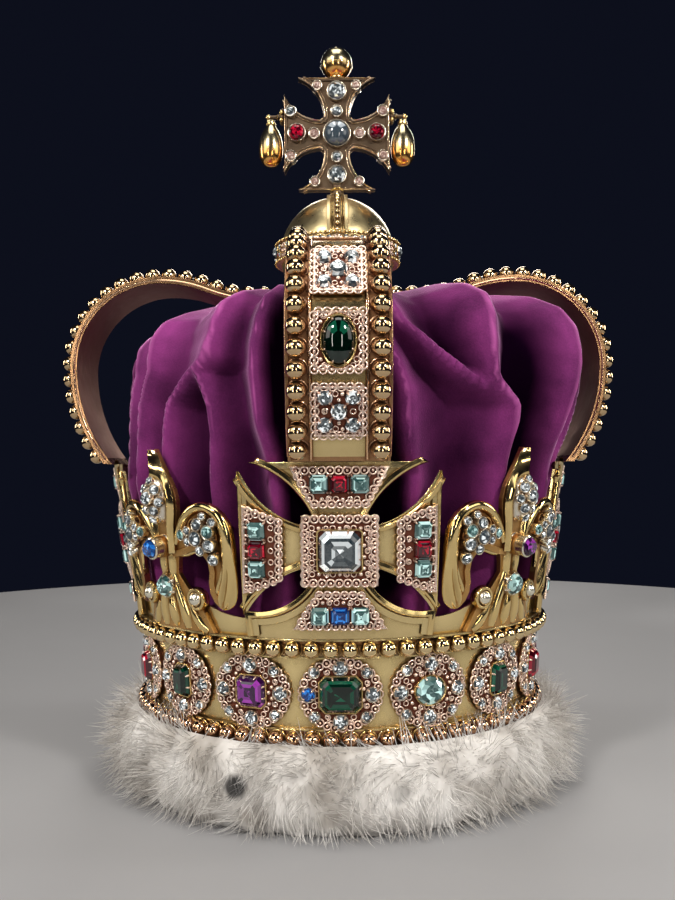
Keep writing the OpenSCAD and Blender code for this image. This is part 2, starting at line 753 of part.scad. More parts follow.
// A thin collar where two curves of an arch meet
module bend_collar(along) {
    on_arch(along, 0, 0)
        rotate([90, 0, 0])
            linear_extrude(height = collar_l, center = true)
                rotate(90)
                    offset(delta = collar_grow)
                        arch_section();
}

// The polygon of flats that a row of beads is soldered on
module bead_flats() {
    start = first_bead - arch_bead_step / 2;
    edge = [for (i = [0:arch_beads]) line_point(start + i * arch_bead_step, -bead_flat)];
    back = [for (i = [arch_beads:-1:0]) line_point(start + i * arch_bead_step, strip_top - bite)];
    inner_w = channel_w - 2 * rail_w + bite;
    for (side = [-1, 1])
        translate([side * bead_row_y + inner_w / 2, 0, 0])
            rotate([90, 0, -90])
                linear_extrude(height = inner_w)
                    polygon(concat(edge, back));
}

module half_arch() {
    color("goldenrod")
        difference() {
            union() {
                arch_bend(line_reach - flank_r, shoulder_z, flank_r, -foot_turn - foot_over,
                          foot_turn + foot_over, 0);
                arch_bend(shoulder_x, shoulder_z, shoulder_r, 0, 90, 0);
                arch_bend(shoulder_x, crest_z - crown_r, crown_r, 90, dip_turn, 0);
                arch_bend(dip_x, dip_z + dip_r, dip_r, -90, dip_turn, 1);
                translate([0, -hub_half - seat, dip_z])
                    rotate([0, -90, 90])
                        linear_extrude(height = dip_x - hub_half - seat - bend_gap)
                            arch_section();
                for (along = [flank_len, flank_len + shoulder_len, bends_len - dip_len, bends_len])
                    bend_collar(along);
                bead_flats();
                for (i = [0:arch_beads - 1])
                    for (side = [-1, 1])
                        on_arch(first_bead + i * arch_bead_step, side * bead_row_y, 0)
                            sphere(bead_r);
                for (row = ARCH_CLUSTERS)
                    on_arch(row[0] * bends_len, 0, strip_top - bite)
                        translate([-cluster_w / 2, -row[1] / 2, 0])
                            cube([cluster_w, row[1], bite + plate_t]);
            }
            translate([-arch_w, -2 * arch_reach, arch_foot_z - arch_w])
                cube([2 * arch_w, 2 * arch_reach, arch_w]);
            for (row = ARCH_CLUSTERS)
                on_arch(row[0] * bends_len, 0, strip_top + plate_t) {
                    stone_pocket(row[3], row[4], row[2], 2);
                    arch_side_stones(row)
                        stone_pocket(row[5], row[5], 8, 2);
                }
        }
}

module arch_side_stones(row) {
    in = row[5] / 2 + plate_edge;
    if (row[5] > 0)
        for (sx = [-1, 1])
            for (sy = [-1, 1])
                translate([sx * (cluster_w / 2 - in), sy * (row[1] / 2 - in), 0])
                    children();
}

module half_arch_stones() {
    color("lightcyan")
        for (row = ARCH_CLUSTERS)
            on_arch(row[0] * bends_len, 0, strip_top + plate_t) {
                cut_stone(row[3], row[4], stone_h(row[3]), row[2]);
                arch_side_stones(row)
                    cut_stone(row[5], row[5], stone_h(row[5]), 8);
            }
}

module arch_crossing() {
    color("goldenrod")
        difference() {
            union() {
                translate([-hub_half, -hub_half, dip_z + strip_low])
                    cube([2 * hub_half, 2 * hub_half, arch_wall]);
                for (turn = [0:quarter:359])
                    rotate([0, 0, turn])
                        translate([hub_half - channel_w, hub_half - channel_w, dip_z + strip_low])
                            cube([channel_w, channel_w, arch_wall + rail_h / 2]);
                translate([0, 0, dip_z + strip_low])
                    cylinder(r = cup_r, h = arch_wall + cup_h);
            }
            translate([0, 0, orb_z])
                sphere(orb_r + seat, $fn = round_fn);
        }
}

module orb_stone_places() {
    for (i = [0:ORB_STONES - 1])
        rotate([0, 0, (i + 0.5) * 360 / ORB_STONES])
            translate([0, -equator_r - 0.6, 0])
                rotate([90, 0, 0])
                    children();
}

module orb() {
    color("gold")
        translate([0, 0, orb_z])
            difference() {
                union() {
                    sphere(orb_r, $fn = round_fn);
                    rotate_extrude($fn = round_fn) {
                        translate([orb_r - band_sunk, -equator_h / 2])
                            square([equator_r - orb_r + band_sunk, equator_h]);
                        for (z = [-equator_h / 2, equator_h / 2 - rail_w])
                            translate([orb_r - band_sunk, z])
                                square([equator_r - orb_r + band_sunk + equator_rim, rail_w]);
                    }
                    rotate([0, -90, 0])
                        rotate([0, 0, -90])
                            rotate_extrude(angle = 180, $fn = round_fn) {
                                translate([orb_r - band_sunk, -meridian_w / 2])
                                    square([band_sunk + meridian_up, meridian_w]);
                                for (y = [-meridian_w / 2, meridian_w / 2 - 2 * rail_w])
                                    translate([orb_r - band_sunk, y])
                                        square([band_sunk + meridian_up + meridian_rim, 2 * rail_w]);
                            }
                    orb_stone_places()
                        translate([0, 0, -2])
                            cylinder(r = equator_h / 2 - rail_w - 0.2, h = 2);
                }
                orb_stone_places()
                    stone_pocket(orb_stone_d, orb_stone_d, 8, 2);
            }
}

module orb_stones() {
    color("lightcyan")
        translate([0, 0, orb_z])
            orb_stone_places()
                cut_stone(orb_stone_d, orb_stone_d, stone_h(orb_stone_d), 8);
}

module orb_cross_plan(inset) {
    difference() {
        square([orb_cross_w - 2 * inset, orb_cross_h - 2 * inset], center = true);
        for (side = [0, 1])
            for (over = [0, 1])
                mirror([side, 0])
                    mirror([0, over]) {
                        cross_opening(ORB_OPENING, orb_reach, orb_head, inset);
                        translate([0.8 * orb_reach, 0.74 * orb_head])
                            square([orb_reach, orb_head]);
                    }
    }
}

module orb_cross_stone_places() {
    translate([0, -orb_cross_t / 2, orb_cross_z])
        for (row = ORB_CROSS_STONES)
            translate([row[0] * orb_reach, 0, row[1] * orb_head])
                rotate([90, 0, 0]) {
                    $stone = row[2];
                    children();
                }
}

module orb_cross() {
    deep = orb_cross_t - 2 * orb_recess;
    color("goldenrod")
        difference() {
            union() {
                translate([0, deep / 2, orb_cross_z])
                    rotate([90, 0, 0])
                        linear_extrude(height = deep)
                            orb_cross_plan(0);
                translate([0, orb_cross_t / 2, orb_cross_z])
                    rotate([90, 0, 0])
                        linear_extrude(height = orb_cross_t)
                            difference() {
                                orb_cross_plan(0);
                                orb_cross_plan(orb_rim_w);
                            }
                translate([0, 0, orb_z + orb_r + meridian_up + meridian_rim + seat])
                    cylinder(r = knop_r, h = knop_h + knop_r);
                orb_cross_stone_places()
                    translate([0, 0, -2])
                        cylinder(r = $stone / 2 + orb_collar, h = 2);
                for (side = [-1, 1]) {
                    translate([side * (orb_reach - 2), 0, rod_z])
                        rotate([0, side * 90, 0])
                            cylinder(r = rod_r, h = drop_x - orb_reach + 4);
                    for (k = [-1:1])
                        translate([side * (orb_reach + rod_r), 0, rod_z + k * knob_step])
                            sphere(knob_r);
                }
            }
            orb_cross_stone_places()
                stone_pocket($stone, $stone, 8, 2);
        }
}

module orb_cross_stones() {
    color("lightcyan")
        orb_cross_stone_places()
            cut_stone($stone, $stone, stone_h($stone), 8);
}

module orb_ball() {
    color("gold")
        union() {
            translate([0, 0, ball_z])
                sphere(ball_d / 2);
            translate([0, 0, orb_cross_z + orb_head + seat])
                cylinder(r = ball_neck_r, h = ball_neck_h);
            translate([0, 0, ball_z + ball_d / 2 - bite])
                cylinder(r = point_r, h = point_h + bite);
        }
}

module pear_drop() {
    top = rod_z - rod_r - seat;
    body_l = drop_l - drop_neck;
    translate([0, 0, top - drop_l]) {
        rotate_extrude()
            polygon(concat([for (p = smooth_line(PEAR, 14)) [max(0, p[0]) * drop_d / 2, p[1] * body_l]],
                           [[neck_r, body_l * 0.98], [neck_r, drop_l], [0, drop_l]]));
    }
}

module pear_drop_left() {
    color("gold")
        translate([-drop_x, 0, 0])
            pear_drop();
}

module pear_drop_right() {
    color("gold")
        translate([drop_x, 0, 0])
            pear_drop();
}

// Point at a turn from the front to the right
function place(turn, r, z) = [r * sin(turn), -r * cos(turn), z];

// Triangles between rings of points that stand one after the other, from the first index on
function band_faces(first, rings, n, flip) =
    [for (k = [0:rings - 2], j = [0:n - 1])
        let (a = first + k * n + j, b = first + k * n + (j + 1) % n)
        each (flip ? [[a, b, b + n], [a, b + n, a + n]] : [[a, a + n, b + n], [a, b + n, b]])];

// Radius of an arch's inner side at a height between its foot and its crest
function arch_inside(z) =
    z < shoulder_z ? line_reach - flank_r + sqrt(pow(flank_r + strip_low, 2) - pow(shoulder_z - z, 2)) :
    shoulder_x + sqrt(pow(shoulder_r + strip_low, 2) - pow(z - shoulder_z, 2));
// The cap is inside the cresting at its foot, then under the arches, and its top keeps its widest radius
function cap_z(row) = cap_low + row[0] * (cap_high - cap_low);
cap_r = arch_inside(cap_z(CAP_SECTIONS[cap_widest])) - cap_room;
function cap_radius(row) =
    let (z = cap_z(row))
    z < cross_top ? band_r(z) - band_wall - cloth_gap :
    z < shoulder_z ? arch_inside(z) - row[1] * cap_room : row[1] * cap_r;
function cap_base(k) = let (row = CAP_SECTIONS[k]) [cap_radius(row), cap_z(row)];
// Outward direction of the cap's middle surface at a section
function cap_normal(k) =
    let (a = cap_base(max(0, k - 1)), b = cap_base(min(len(CAP_SECTIONS) - 1, k + 1)), d = b - a)
    [d[1], -d[0]] / norm(d);
function fold(turn) =
    -fold_depth * min(1, sum([for (row = CAP_FOLDS)
        let (off = (turn - row[0] + 900) % 360 - 180)
        row[1] * exp(-pow(off / row[2], 2))]));
function sum(v) = v * [for (x = v) 1];
function slump(turn) =
    let (off = (turn - slump_turn + 900) % 360 - 180)
    cap_slump * exp(-pow(off / slump_wide, 2));
function cap_point(k, turn, deep) =
    let (row = CAP_SECTIONS[k], n = cap_normal(k),
         out = row[2] * fold(turn + fold_swing * sin(fold_phase * k))
             - row[3] * cap_swell * cos(4 * turn) - row[4] * slump(turn) - deep,
         p = cap_base(k) + n * out)
    place(turn, p[0], p[1]);

module velvet_cap() {
    n = cap_turns;
    rings = len(CAP_SECTIONS);
    half = rings * n + 1;
    points = [for (deep = [0, velvet])
        each concat([for (k = [0:rings - 1], j = [0:n - 1]) cap_point(k, j * 360 / n, deep)],
                    [[0, 0, cap_base(rings - 1)[1] - deep]])];
    top = [for (j = [0:n - 1]) let (a = (rings - 1) * n + j, b = (rings - 1) * n + (j + 1) % n)
        each [[a, half - 1, b], [half + b, 2 * half - 1, half + a]]];
    foot = [for (j = [0:n - 1]) let (b = (j + 1) % n)
        each [[j, b, half + b], [j, half + b, half + j]]];
    color("indigo")
        polyhedron(points,
                   concat(band_faces(0, rings, n, false), band_faces(half, rings, n, true), top, foot),
                   convexity = 10);
}

function fur_point(k, turn) =
    let (row = FUR_SECTION[k], base = row[0] == 0 ? fur_in : fur_clear,
         lock = lock_depth * row[3] * cos(fur_locks * turn + 50 * k) * (0.7 + 0.3 * sin(7 * turn)))
    place(turn, base + row[1] * (fur_r - base) + lock, row[2] * fur_h + 0.4 * lock * row[2]);

module fur_trim() {
    n = fur_turns;
    under = band_foot - cloth_gap;
    outer = len(FUR_SECTION);
    rings = outer + 2;
    points = concat(
        [for (k = [0:outer - 1], j = [0:n - 1]) fur_point(k, j * 360 / n)],
        [for (j = [0:n - 1]) place(j * 360 / n, fur_clear, under)],
        [for (j = [0:n - 1]) place(j * 360 / n, fur_in, under)]);
    inner = [for (j = [0:n - 1]) let (a = (rings - 1) * n + j, b = (rings - 1) * n + (j + 1) % n)
        each [[a, j, (j + 1) % n], [a, (j + 1) % n, b]]];
    color("white")
        polyhedron(points, concat(band_faces(0, rings, n, false), inner), convexity = 6);
}

if (wanted("circlet")) circlet();
if (wanted("circlet_beads_upper")) circlet_beads_upper();
if (wanted("circlet_beads_lower")) circlet_beads_lower();
if (wanted("circlet_settings")) circlet_settings();
if (wanted("circlet_side_stones")) circlet_side_stones();
for (i = [1:clusters])
    if (wanted(str("circlet_stone_", two(i)))) circlet_stone(i - 1);
for (i = [0:3])
    rotate([0, 0, i * quarter]) {
        if (wanted(str("cross_", CORNERS[i]))) crest_cross();
        if (wanted(str("cross_stones_", CORNERS[i]))) crest_cross_stones();
        if (wanted(str("arch_", CORNERS[i]))) half_arch();
        if (wanted(str("arch_stones_", CORNERS[i]))) half_arch_stones();
    }
for (i = [0:3])
    rotate([0, 0, (i + 0.5) * quarter])
        if (wanted(str("fleur_", FLEURS[i]))) fleur();
if (wanted("fleur_stones")) fleur_stones();
if (wanted("arch_crossing")) arch_crossing();
if (wanted("orb")) orb();
if (wanted("orb_stones")) orb_stones();
if (wanted("orb_cross")) orb_cross();
if (wanted("orb_cross_stones")) orb_cross_stones();
if (wanted("orb_ball")) orb_ball();
if (wanted("pear_drop_left")) pear_drop_left();
if (wanted("pear_drop_right")) pear_drop_right();
if (wanted("velvet_cap")) velvet_cap();
if (wanted("fur_trim")) fur_trim();
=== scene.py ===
# %% [markdown]
# # Dressing an arched crown
# The crown's solids come ready made. This lesson gives them polished gold, cut stones, filigree, a
# velvet cap and a fur roll, and lights them. The first cell loads the solids from model.glb and bakes
# their places into their meshes. The dressed crown has to stay as large as they are.

# %% Load the solids
import random
from math import asin, atan, atan2, cos, degrees, dist, exp, hypot, pi, radians, sin, sqrt, tan

import bmesh
import bpy
import numpy as np
from mathutils import Matrix, Vector


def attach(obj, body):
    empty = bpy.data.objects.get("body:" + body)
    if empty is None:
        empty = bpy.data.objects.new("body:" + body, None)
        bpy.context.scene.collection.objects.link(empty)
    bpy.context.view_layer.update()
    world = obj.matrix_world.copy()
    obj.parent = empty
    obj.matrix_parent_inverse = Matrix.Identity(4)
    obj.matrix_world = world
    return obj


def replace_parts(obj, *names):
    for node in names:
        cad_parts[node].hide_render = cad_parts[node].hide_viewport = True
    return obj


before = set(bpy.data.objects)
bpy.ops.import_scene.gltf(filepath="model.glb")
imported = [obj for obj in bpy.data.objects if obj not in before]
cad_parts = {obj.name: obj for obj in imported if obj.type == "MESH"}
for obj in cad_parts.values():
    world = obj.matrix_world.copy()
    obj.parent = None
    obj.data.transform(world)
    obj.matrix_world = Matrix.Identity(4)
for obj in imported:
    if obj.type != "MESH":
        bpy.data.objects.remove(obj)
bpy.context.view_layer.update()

MM = 0.001

# %% [markdown]
# ## The camera
# A picture can only be compared with a photograph that was taken from the same place. The camera stands
# 442 mm in front of the crown's middle and 138 mm above the surface, tips up by about one degree and rolls
# by a third of a degree, as the photographer's did. The lens follows from the photograph's frame.

# %% Camera
def placed(name, data):
    """An object in the scene."""
    thing = bpy.data.objects.new(name, data)
    bpy.context.scene.collection.objects.link(thing)
    return thing


def moved(x=0, y=0, z=0):
    return Matrix.Translation((x, y, z))


def spun(angle, axis="Z"):
    return Matrix.Rotation(angle, 4, axis)


eye = bpy.data.cameras.new("photo_camera")
eye.lens = 36.45
eye.clip_start = 0.01
camera = placed("photo_camera", eye)
camera.matrix_world = moved(-0.0006, -0.4418, 0.138) @ spun(radians(91.13), "X") @ spun(radians(-0.35))
bpy.context.scene.camera = camera

# %% [markdown]
# ## The light
# Gold has no colour of its own beyond what it mirrors, so it needs bright and dark things round it. A few
# soft boxes overhead and at the sides, in a dim room, give each bead a crisp highlight and a dark side.

# %% Soft boxes and room
CROWN_MIDDLE = Vector((0, 0, 0.15))
KEY, STRIP, PANEL, SIDE = (0.1, 0.1), (0.04, 0.5), (0.5, 0.5), (0.1, 0.5)
for name, place, size, power in (  # places and sizes in metres, power in watts
        ("key_left", (-0.45, -0.75, 0.75), KEY, 6.5), ("key_right", (0.5, -0.7, 0.7), KEY, 5.5),
        ("strip_left", (-0.5, -1.0, 0.22), STRIP, 1.3), ("strip_right", (0.3, -1.15, 0.2), STRIP, 1.3),
        ("overhead", (0.0, -0.15, 1.1), (0.5, 0.6), 3.4), ("panel_left", (-0.75, -0.55, 0.55), PANEL, 1.6),
        ("panel_right", (0.8, -0.5, 0.5), PANEL, 1.5), ("side_left", (-1.0, 0.15, 0.4), SIDE, 2.4),
        ("side_right", (1.0, 0.1, 0.4), SIDE, 3.2), ("behind", (0.1, 0.9, 0.7), (0.5, 0.25), 4)):
    lamp = bpy.data.lights.new(name, "AREA")
    lamp.shape = "RECTANGLE"
    lamp.size, lamp.size_y = size
    lamp.energy = power
    lamp.color = (1.0, 0.96, 0.9)
    box = placed(name, lamp)
    box.location = place
    box.rotation_euler = (CROWN_MIDDLE - Vector(place)).to_track_quat("-Z", "Y").to_euler()
world = bpy.data.worlds.new("studio")
world.use_nodes = True
world.node_tree.nodes["Background"].inputs["Color"].default_value = (0.004, 0.005, 0.011, 1)
bpy.context.scene.world = world
bpy.context.scene.view_settings.view_transform = "Standard"

# %% [markdown]
# ## Sums with sockets
# A node tree is a sum written with boxes and wires. `Value` wraps one output, so that ordinary Python
# operators add the Math nodes, and `Graph.node` adds any other node from its type, settings and inputs.

# %% Value and Graph
def sums(operation, reflected=False):
    """An operator of Value that adds a Math node."""
    def operator(self, other):
        return self.graph.maths(operation, *((other, self) if reflected else (self, other)))
    return operator


class Value:
    """An output socket that takes part in Python sums."""

    def __init__(self, graph, socket):
        self.graph, self.socket = graph, socket

    __add__, __radd__ = sums("ADD"), sums("ADD", True)
    __sub__, __rsub__ = sums("SUBTRACT"), sums("SUBTRACT", True)
    __mul__, __rmul__ = sums("MULTIPLY"), sums("MULTIPLY", True)
    __pow__ = sums("POWER")

    def between(self, low, high, **ends):
        """0 at low, 1 at high, and a straight line in between."""
        given = {"Value": self, "From Min": low, "From Max": high, **ends}
        return self.graph.node("ShaderNodeMapRange", {}, given)


class Graph:
    """A node tree being built, of a material or of Geometry Nodes."""

    def __init__(self, tree):
        self.tree = tree

    def node(self, kind, settings, inputs, out=0):
        made = self.tree.nodes.new(kind)
        for name, setting in settings.items():
            setattr(made, name, setting)
        for name, given in inputs.items():
            self.put(made.inputs[name], given)
        enabled = [socket for socket in made.outputs if socket.enabled]
        return Value(self, made.outputs[out] if isinstance(out, str) else enabled[out])

    def maths(self, operation, *given, kind="Math", out=0):
        return self.node("ShaderNode" + kind, {"operation": operation}, dict(enumerate(given)), out)

    def put(self, socket, given):
        if isinstance(given, Value):
            self.tree.links.new(given.socket, socket)
        else:
            socket.default_value = given


class Finish(Graph):
    """A material: its constants go on the shader's sockets, and put_on links what varies."""

    def __init__(self, name, **constants):
        self.material = bpy.data.materials.new(name)
        self.material.use_nodes = True
        super().__init__(self.material.node_tree)
        self.shader = self.tree.nodes["Principled BSDF"]
        for name, constant in constants.items():
            self.shader.inputs[name.replace("_", " ")].default_value = constant

    def put_on(self, name, given):
        self.put(self.shader.inputs[name], given)

    def place(self):
        return self.node("ShaderNodeTexCoord", {}, {}, "Object")

    def painted(self, name):
        return self.node("ShaderNodeAttribute", {"attribute_name": name}, {}, "Fac")

    def noise(self, scale, detail=2.0):
        given = {"Vector": self.place(), "Scale": scale, "Detail": detail}
        return self.node("ShaderNodeTexNoise", {}, given)

    def mix(self, share, first, second):
        """Between two colours, given as values or as red, green and blue."""
        full = [(*colour, 1) if isinstance(colour, tuple) else colour for colour in (first, second)]
        mixer = {"data_type": "RGBA"}
        return self.node("ShaderNodeMix", mixer, {0: share, 6: full[0], 7: full[1]})

    def bump(self, height, strength, distance, **more):
        given = {"Height": height, "Strength": strength, "Distance": distance, **more}
        return self.node("ShaderNodeBump", {}, given)


# %% [markdown]
# ## Gold, old and polished
# Gold is bright on every edge, and its corners get a painted shade, a deep brown colour. An ambient
# occlusion node finds the corners, and a bevel node rounds the edges of the light without changing the mesh.
# Slow noise bends the surface a little, because hand-hammered metal never mirrors like a machine's.

# %% Gold finishes
def gold(name, bright, painted_shade, rough, wave, corner=3.0, edge=0.3):
    """Polished metal with a painted shade, a deep colour, in its corners, up to corner millimetres from a
    wall.
    """
    metal = Finish(name, Metallic=1.0)
    reach = {"Distance": corner * MM}
    # Painted shade: ambient occlusion finds the corners, and the colour goes to the deep one there
    unshaded_share = metal.node("ShaderNodeAmbientOcclusion", {"samples": 6}, reach, "AO").between(0.35, 0.95)
    patch = metal.noise(220, 3).between(0.3, 0.75)
    red, green, blue = bright
    worn = (red * 0.82, green * 0.82, blue * 0.7)
    metal.put_on("Base Color", metal.mix(patch * 0.25, metal.mix(unshaded_share, painted_shade, bright), worn))
    metal.put_on("Roughness", (1 - unshaded_share) * 0.25 + patch * 0.08 + rough)
    rounded = metal.node("ShaderNodeBevel", {"samples": 4}, {"Radius": edge * MM})
    metal.put_on("Normal", metal.bump(metal.noise(95), wave, 0.0009, Normal=rounded))
    return metal.material


polished = gold("polished gold", (0.84, 0.63, 0.28), (0.2, 0.08, 0.02), 0.09, 0.35)
matte = gold("matte gold", (0.8, 0.63, 0.31), (0.2, 0.11, 0.035), 0.12, 0.3, 4)
bead_gold = gold("bead gold", (0.8, 0.62, 0.34), (0.16, 0.06, 0.02), 0.06, 0.05)
arch_beads = gold("arch beads", (0.66, 0.47, 0.27), (0.12, 0.045, 0.02), 0.1, 0.05, 2.5)
copper = gold("copper arches", (0.46, 0.26, 0.13), (0.1, 0.03, 0.015), 0.2, 0.3, 5)
copper_edge = gold("copper edges", (0.86, 0.56, 0.34), (0.26, 0.1, 0.05), 0.14, 0.2, 1.5)
red_gold = gold("red gold beads", (0.66, 0.42, 0.26), (0.16, 0.05, 0.025), 0.08, 0.05)
rose = gold("rose filigree", (1.0, 0.8, 0.68), (0.36, 0.13, 0.09), 0.24, 0.1, 1, 0.12)
dull_field = gold("dull gold field", (0.15, 0.105, 0.07), (0.05, 0.025, 0.015), 0.3, 0.4, 2.5)
# Painted shade: a dark backing that stands for the shade seen through the holes of the filigree
painted_shade_backing = gold("dark recess", (0.2, 0.07, 0.045), (0.05, 0.012, 0.008), 0.45, 0.1, 1.5)
# Painted reflection and shade: orange gold that stands for the light a gold hollow throws back into itself
amber_reflection_and_shade = gold("amber hollow", (0.62, 0.36, 0.13), (0.18, 0.06, 0.015), 0.25, 0.25, 4)
olive_rim = gold("olive gold rims", (0.84, 0.66, 0.48), (0.22, 0.12, 0.07), 0.15, 0.15, 1)
orb_gold = gold("satin orb gold", (0.76, 0.62, 0.34), (0.26, 0.13, 0.05), 0.26, 0.2, 2)
band_gold = gold("band gold", (0.98, 0.78, 0.38), (0.16, 0.08, 0.025), 0.1, 0.5, 7)
silvered = gold("silvered collets", (0.86, 0.8, 0.68), (0.3, 0.18, 0.1), 0.16, 0.15, 1.2)
worn_rose = gold("worn arch lining", (0.34, 0.18, 0.13), (0.12, 0.05, 0.035), 0.42, 0.5, 6)
pearl = gold("pale ball", (0.9, 0.86, 0.72), (0.4, 0.3, 0.16), 0.22, 0.1, 1)

# %% [markdown]
# ## Stones
# A cut stone sparkles because each facet sends back another part of the room. Rendering that through glass
# is slow and noisy, so every facet carries a painted reflection, a number from dark to bright, which the
# material turns into colour and mirror, and the bright facets get a painted glow. It looks the same from all
# sides.

# %% Stone finish
def stone(name, dark, light, mirror, coat=0.5, painted_glow=0.12):
    """A cut stone between two colours, by its painted facet light. Its bright facets get a painted glow."""
    cut = Finish(name, Roughness=0.04, IOR=1.6, Coat_Weight=coat, Coat_Roughness=0.02,
                 Emission_Strength=painted_glow)
    painted_sparkle = cut.painted("painted_facet_light")
    haze = cut.noise(900).between(0.3, 0.7)
    cut.put_on("Base Color", cut.mix((painted_sparkle ** 1.6) * 0.96 + haze * 0.04, dark, light))
    cut.put_on("Metallic", painted_sparkle * mirror)
    # Painted glint: the bright facets glow in their light colour, though no lamp is there
    cut.put_on("Emission Color", cut.mix(painted_sparkle ** 2.5, (0, 0, 0), light))
    return cut.material


STONES = {
    "crystal": stone("clear stone", (0.012, 0.022, 0.03), (0.86, 0.93, 0.96), 0.75, painted_glow=0.62),
    "aquamarine": stone("pale blue stone", (0.008, 0.05, 0.05), (0.56, 0.86, 0.84), 0.6, painted_glow=0.42),
    "emerald": stone("dark green stone", (0.0, 0.002, 0.001), (0.004, 0.07, 0.038), 0.05, 0.1),
    "ruby": stone("red stone", (0.025, 0.0, 0.003), (0.45, 0.006, 0.03), 0.15, 0.25),
    "tourmaline": stone("pink stone", (0.08, 0.002, 0.025), (0.60, 0.03, 0.16), 0.2, 0.3),
    "amethyst": stone("purple stone", (0.012, 0.001, 0.02), (0.28, 0.04, 0.34), 0.15, 0.25),
    "sapphire": stone("blue stone", (0.0, 0.012, 0.09), (0.03, 0.24, 0.80), 0.2, 0.3),
    "blush": stone("blush stone", (0.20, 0.11, 0.09), (0.92, 0.74, 0.66), 0.45, painted_glow=0.2),
    "moonstone": stone("grey moonstone", (0.03, 0.045, 0.06), (0.50, 0.56, 0.62), 0.3)}

# %% Dress the metal solids
SIDES = ("front", "right", "back", "left")
# circlet_settings, under the band's filigree, gets the dark backing of painted shade
METALS = {"circlet_settings": painted_shade_backing, "circlet": band_gold, "orb_cross": dull_field, "orb": orb_gold,
          "circlet_beads_upper": bead_gold, "circlet_beads_lower": red_gold}
for side in SIDES:
    METALS.update({f"cross_{side}": matte, f"arch_{side}": copper})
# The lilies' solids get the amber gold, a painted reflection and shade of their hollows
METALS.update({f"fleur_{end}_{side}": amber_reflection_and_shade for end in ("front", "back") for side in ("left", "right")})
for name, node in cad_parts.items():
    node.data.materials.clear()
    node.data.materials.append(METALS.get(name, polished))

# %% [markdown]
# ## Measures of the crown
# The solids were drawn from a few named sizes. The same sizes place every ornament here: the band is a
# slightly opening ring, the cresting leans out on a cone, and an arch is a chain of four arcs.

# %% Sizes and places, in millimetres
FOOT_R, TOP_R, BAND_FOOT, BAND_TOP = 88.2, 91.1, 29.6, 72.7
LEAN = radians(8.5)
TILT = atan((TOP_R - FOOT_R) / (BAND_TOP - BAND_FOOT))
CROSS_Z, CROSS_REACH, CROSS_HEAD, FLEUR_Z = 106.9, 38.0, 33.4, 107.1
CUT_METAL, PLATE_H, PLATE_T = 3.0, 0.8, 1.3
LOWER_BEADS_Z, UPPER_BEADS_Z = 33.52, 68.78
CLUSTER_R, CLUSTER_Z = 90.0, (LOWER_BEADS_Z + UPPER_BEADS_Z) / 2


def on_band(angle, z, out):
    """Frame on the band: X to the right, Y up, Z outwards."""
    r = FOOT_R + (TOP_R - FOOT_R) * (z - BAND_FOOT) / (BAND_TOP - BAND_FOOT)
    return spun(angle) @ moved(0, -r - out, z) @ spun(pi / 2 + TILT, "X")


def on_cone(x, z, out, quarter=0.0):
    """The same on the leaning cresting, x along the front and quarter turns round the crown."""
    r = TOP_R + 1 + tan(LEAN) * (z - BAND_TOP)
    return spun(quarter * pi / 2 + asin(x / r)) @ moved(0, -r - out, z) @ spun(pi / 2 + LEAN, "X")


# Bead line of an arch: reach, shoulder, flank, crown and dip
REACH, CREST_Z, SHOULDER_R, FLANK_R, CROWN_R, DIP_R = 125.2, 228.2, 42.2, 75.0, 62.0, 60.0
DIP_TURN = radians(22)
SHOULDER_X, SHOULDER_Z = REACH - SHOULDER_R, CREST_Z - SHOULDER_R
FOOT_TURN = asin((SHOULDER_Z - CROSS_Z - CROSS_HEAD - 0.12) / FLANK_R)
DIP_X = SHOULDER_X - (CROWN_R + DIP_R) * sin(DIP_TURN)
DIP_Z = CREST_Z - (CROWN_R + DIP_R) * (1 - cos(DIP_TURN))
ARCS = (  # length, radius, turn where it starts, middle, and which way it bends
    (FLANK_R * FOOT_TURN, FLANK_R, -FOOT_TURN, REACH - FLANK_R, SHOULDER_Z, 1),
    (SHOULDER_R * pi / 2, SHOULDER_R, 0, SHOULDER_X, SHOULDER_Z, 1),
    (CROWN_R * DIP_TURN, CROWN_R, pi / 2, SHOULDER_X, CREST_Z - CROWN_R, 1),
    (DIP_R * DIP_TURN, DIP_R, DIP_TURN - pi / 2, DIP_X, DIP_Z + DIP_R, -1))
BENDS = sum(arc[0] for arc in ARCS)


def arch_line(along, up=0.0):
    """Distance from the axis and height of the bead line at a distance from its foot."""
    for length, radius, start, x, z, way in ARCS:
        if along < length:
            turn, r = start + way * along / radius, radius + way * up
            return x + r * cos(turn), z + r * sin(turn)
        along -= length
    return DIP_X - along, DIP_Z + up


def on_arch(along, across, up, quarter=0):
    """Frame on a half arch: X across it, Y towards the crest, Z outwards."""
    (x, z), (x1, z1) = arch_line(along, up), arch_line(along, up + 1)
    return spun(quarter * pi / 2) @ moved(across, -x, z) @ spun(pi / 2 - atan2(z1 - z, x1 - x), "X")


print("arch bends:", [round(arc[0], 1) for arc in ARCS], "crest at", CREST_Z)

# %% [markdown]
# ## Making a mesh
# Most pieces here are worked out point by point, so one helper turns points and faces, in millimetres,
# into an object at the origin. Sharp edges are kept by an angle, which gives metal its crisp corners.

# %% Mesh helpers
def numbered(thing, name, domain, values):
    """Adds an attribute to a mesh: a number on each of its points or faces."""
    thing.data.attributes.new(name, "FLOAT", domain)
    thing.data.attributes[name].data.foreach_set("value", values)


def outward(thing):
    """Turns all faces of a closed mesh outwards."""
    work = bmesh.new()
    work.from_mesh(thing.data)
    bmesh.ops.recalc_face_normals(work, faces=work.faces)
    work.to_mesh(thing.data)
    work.free()
    return thing


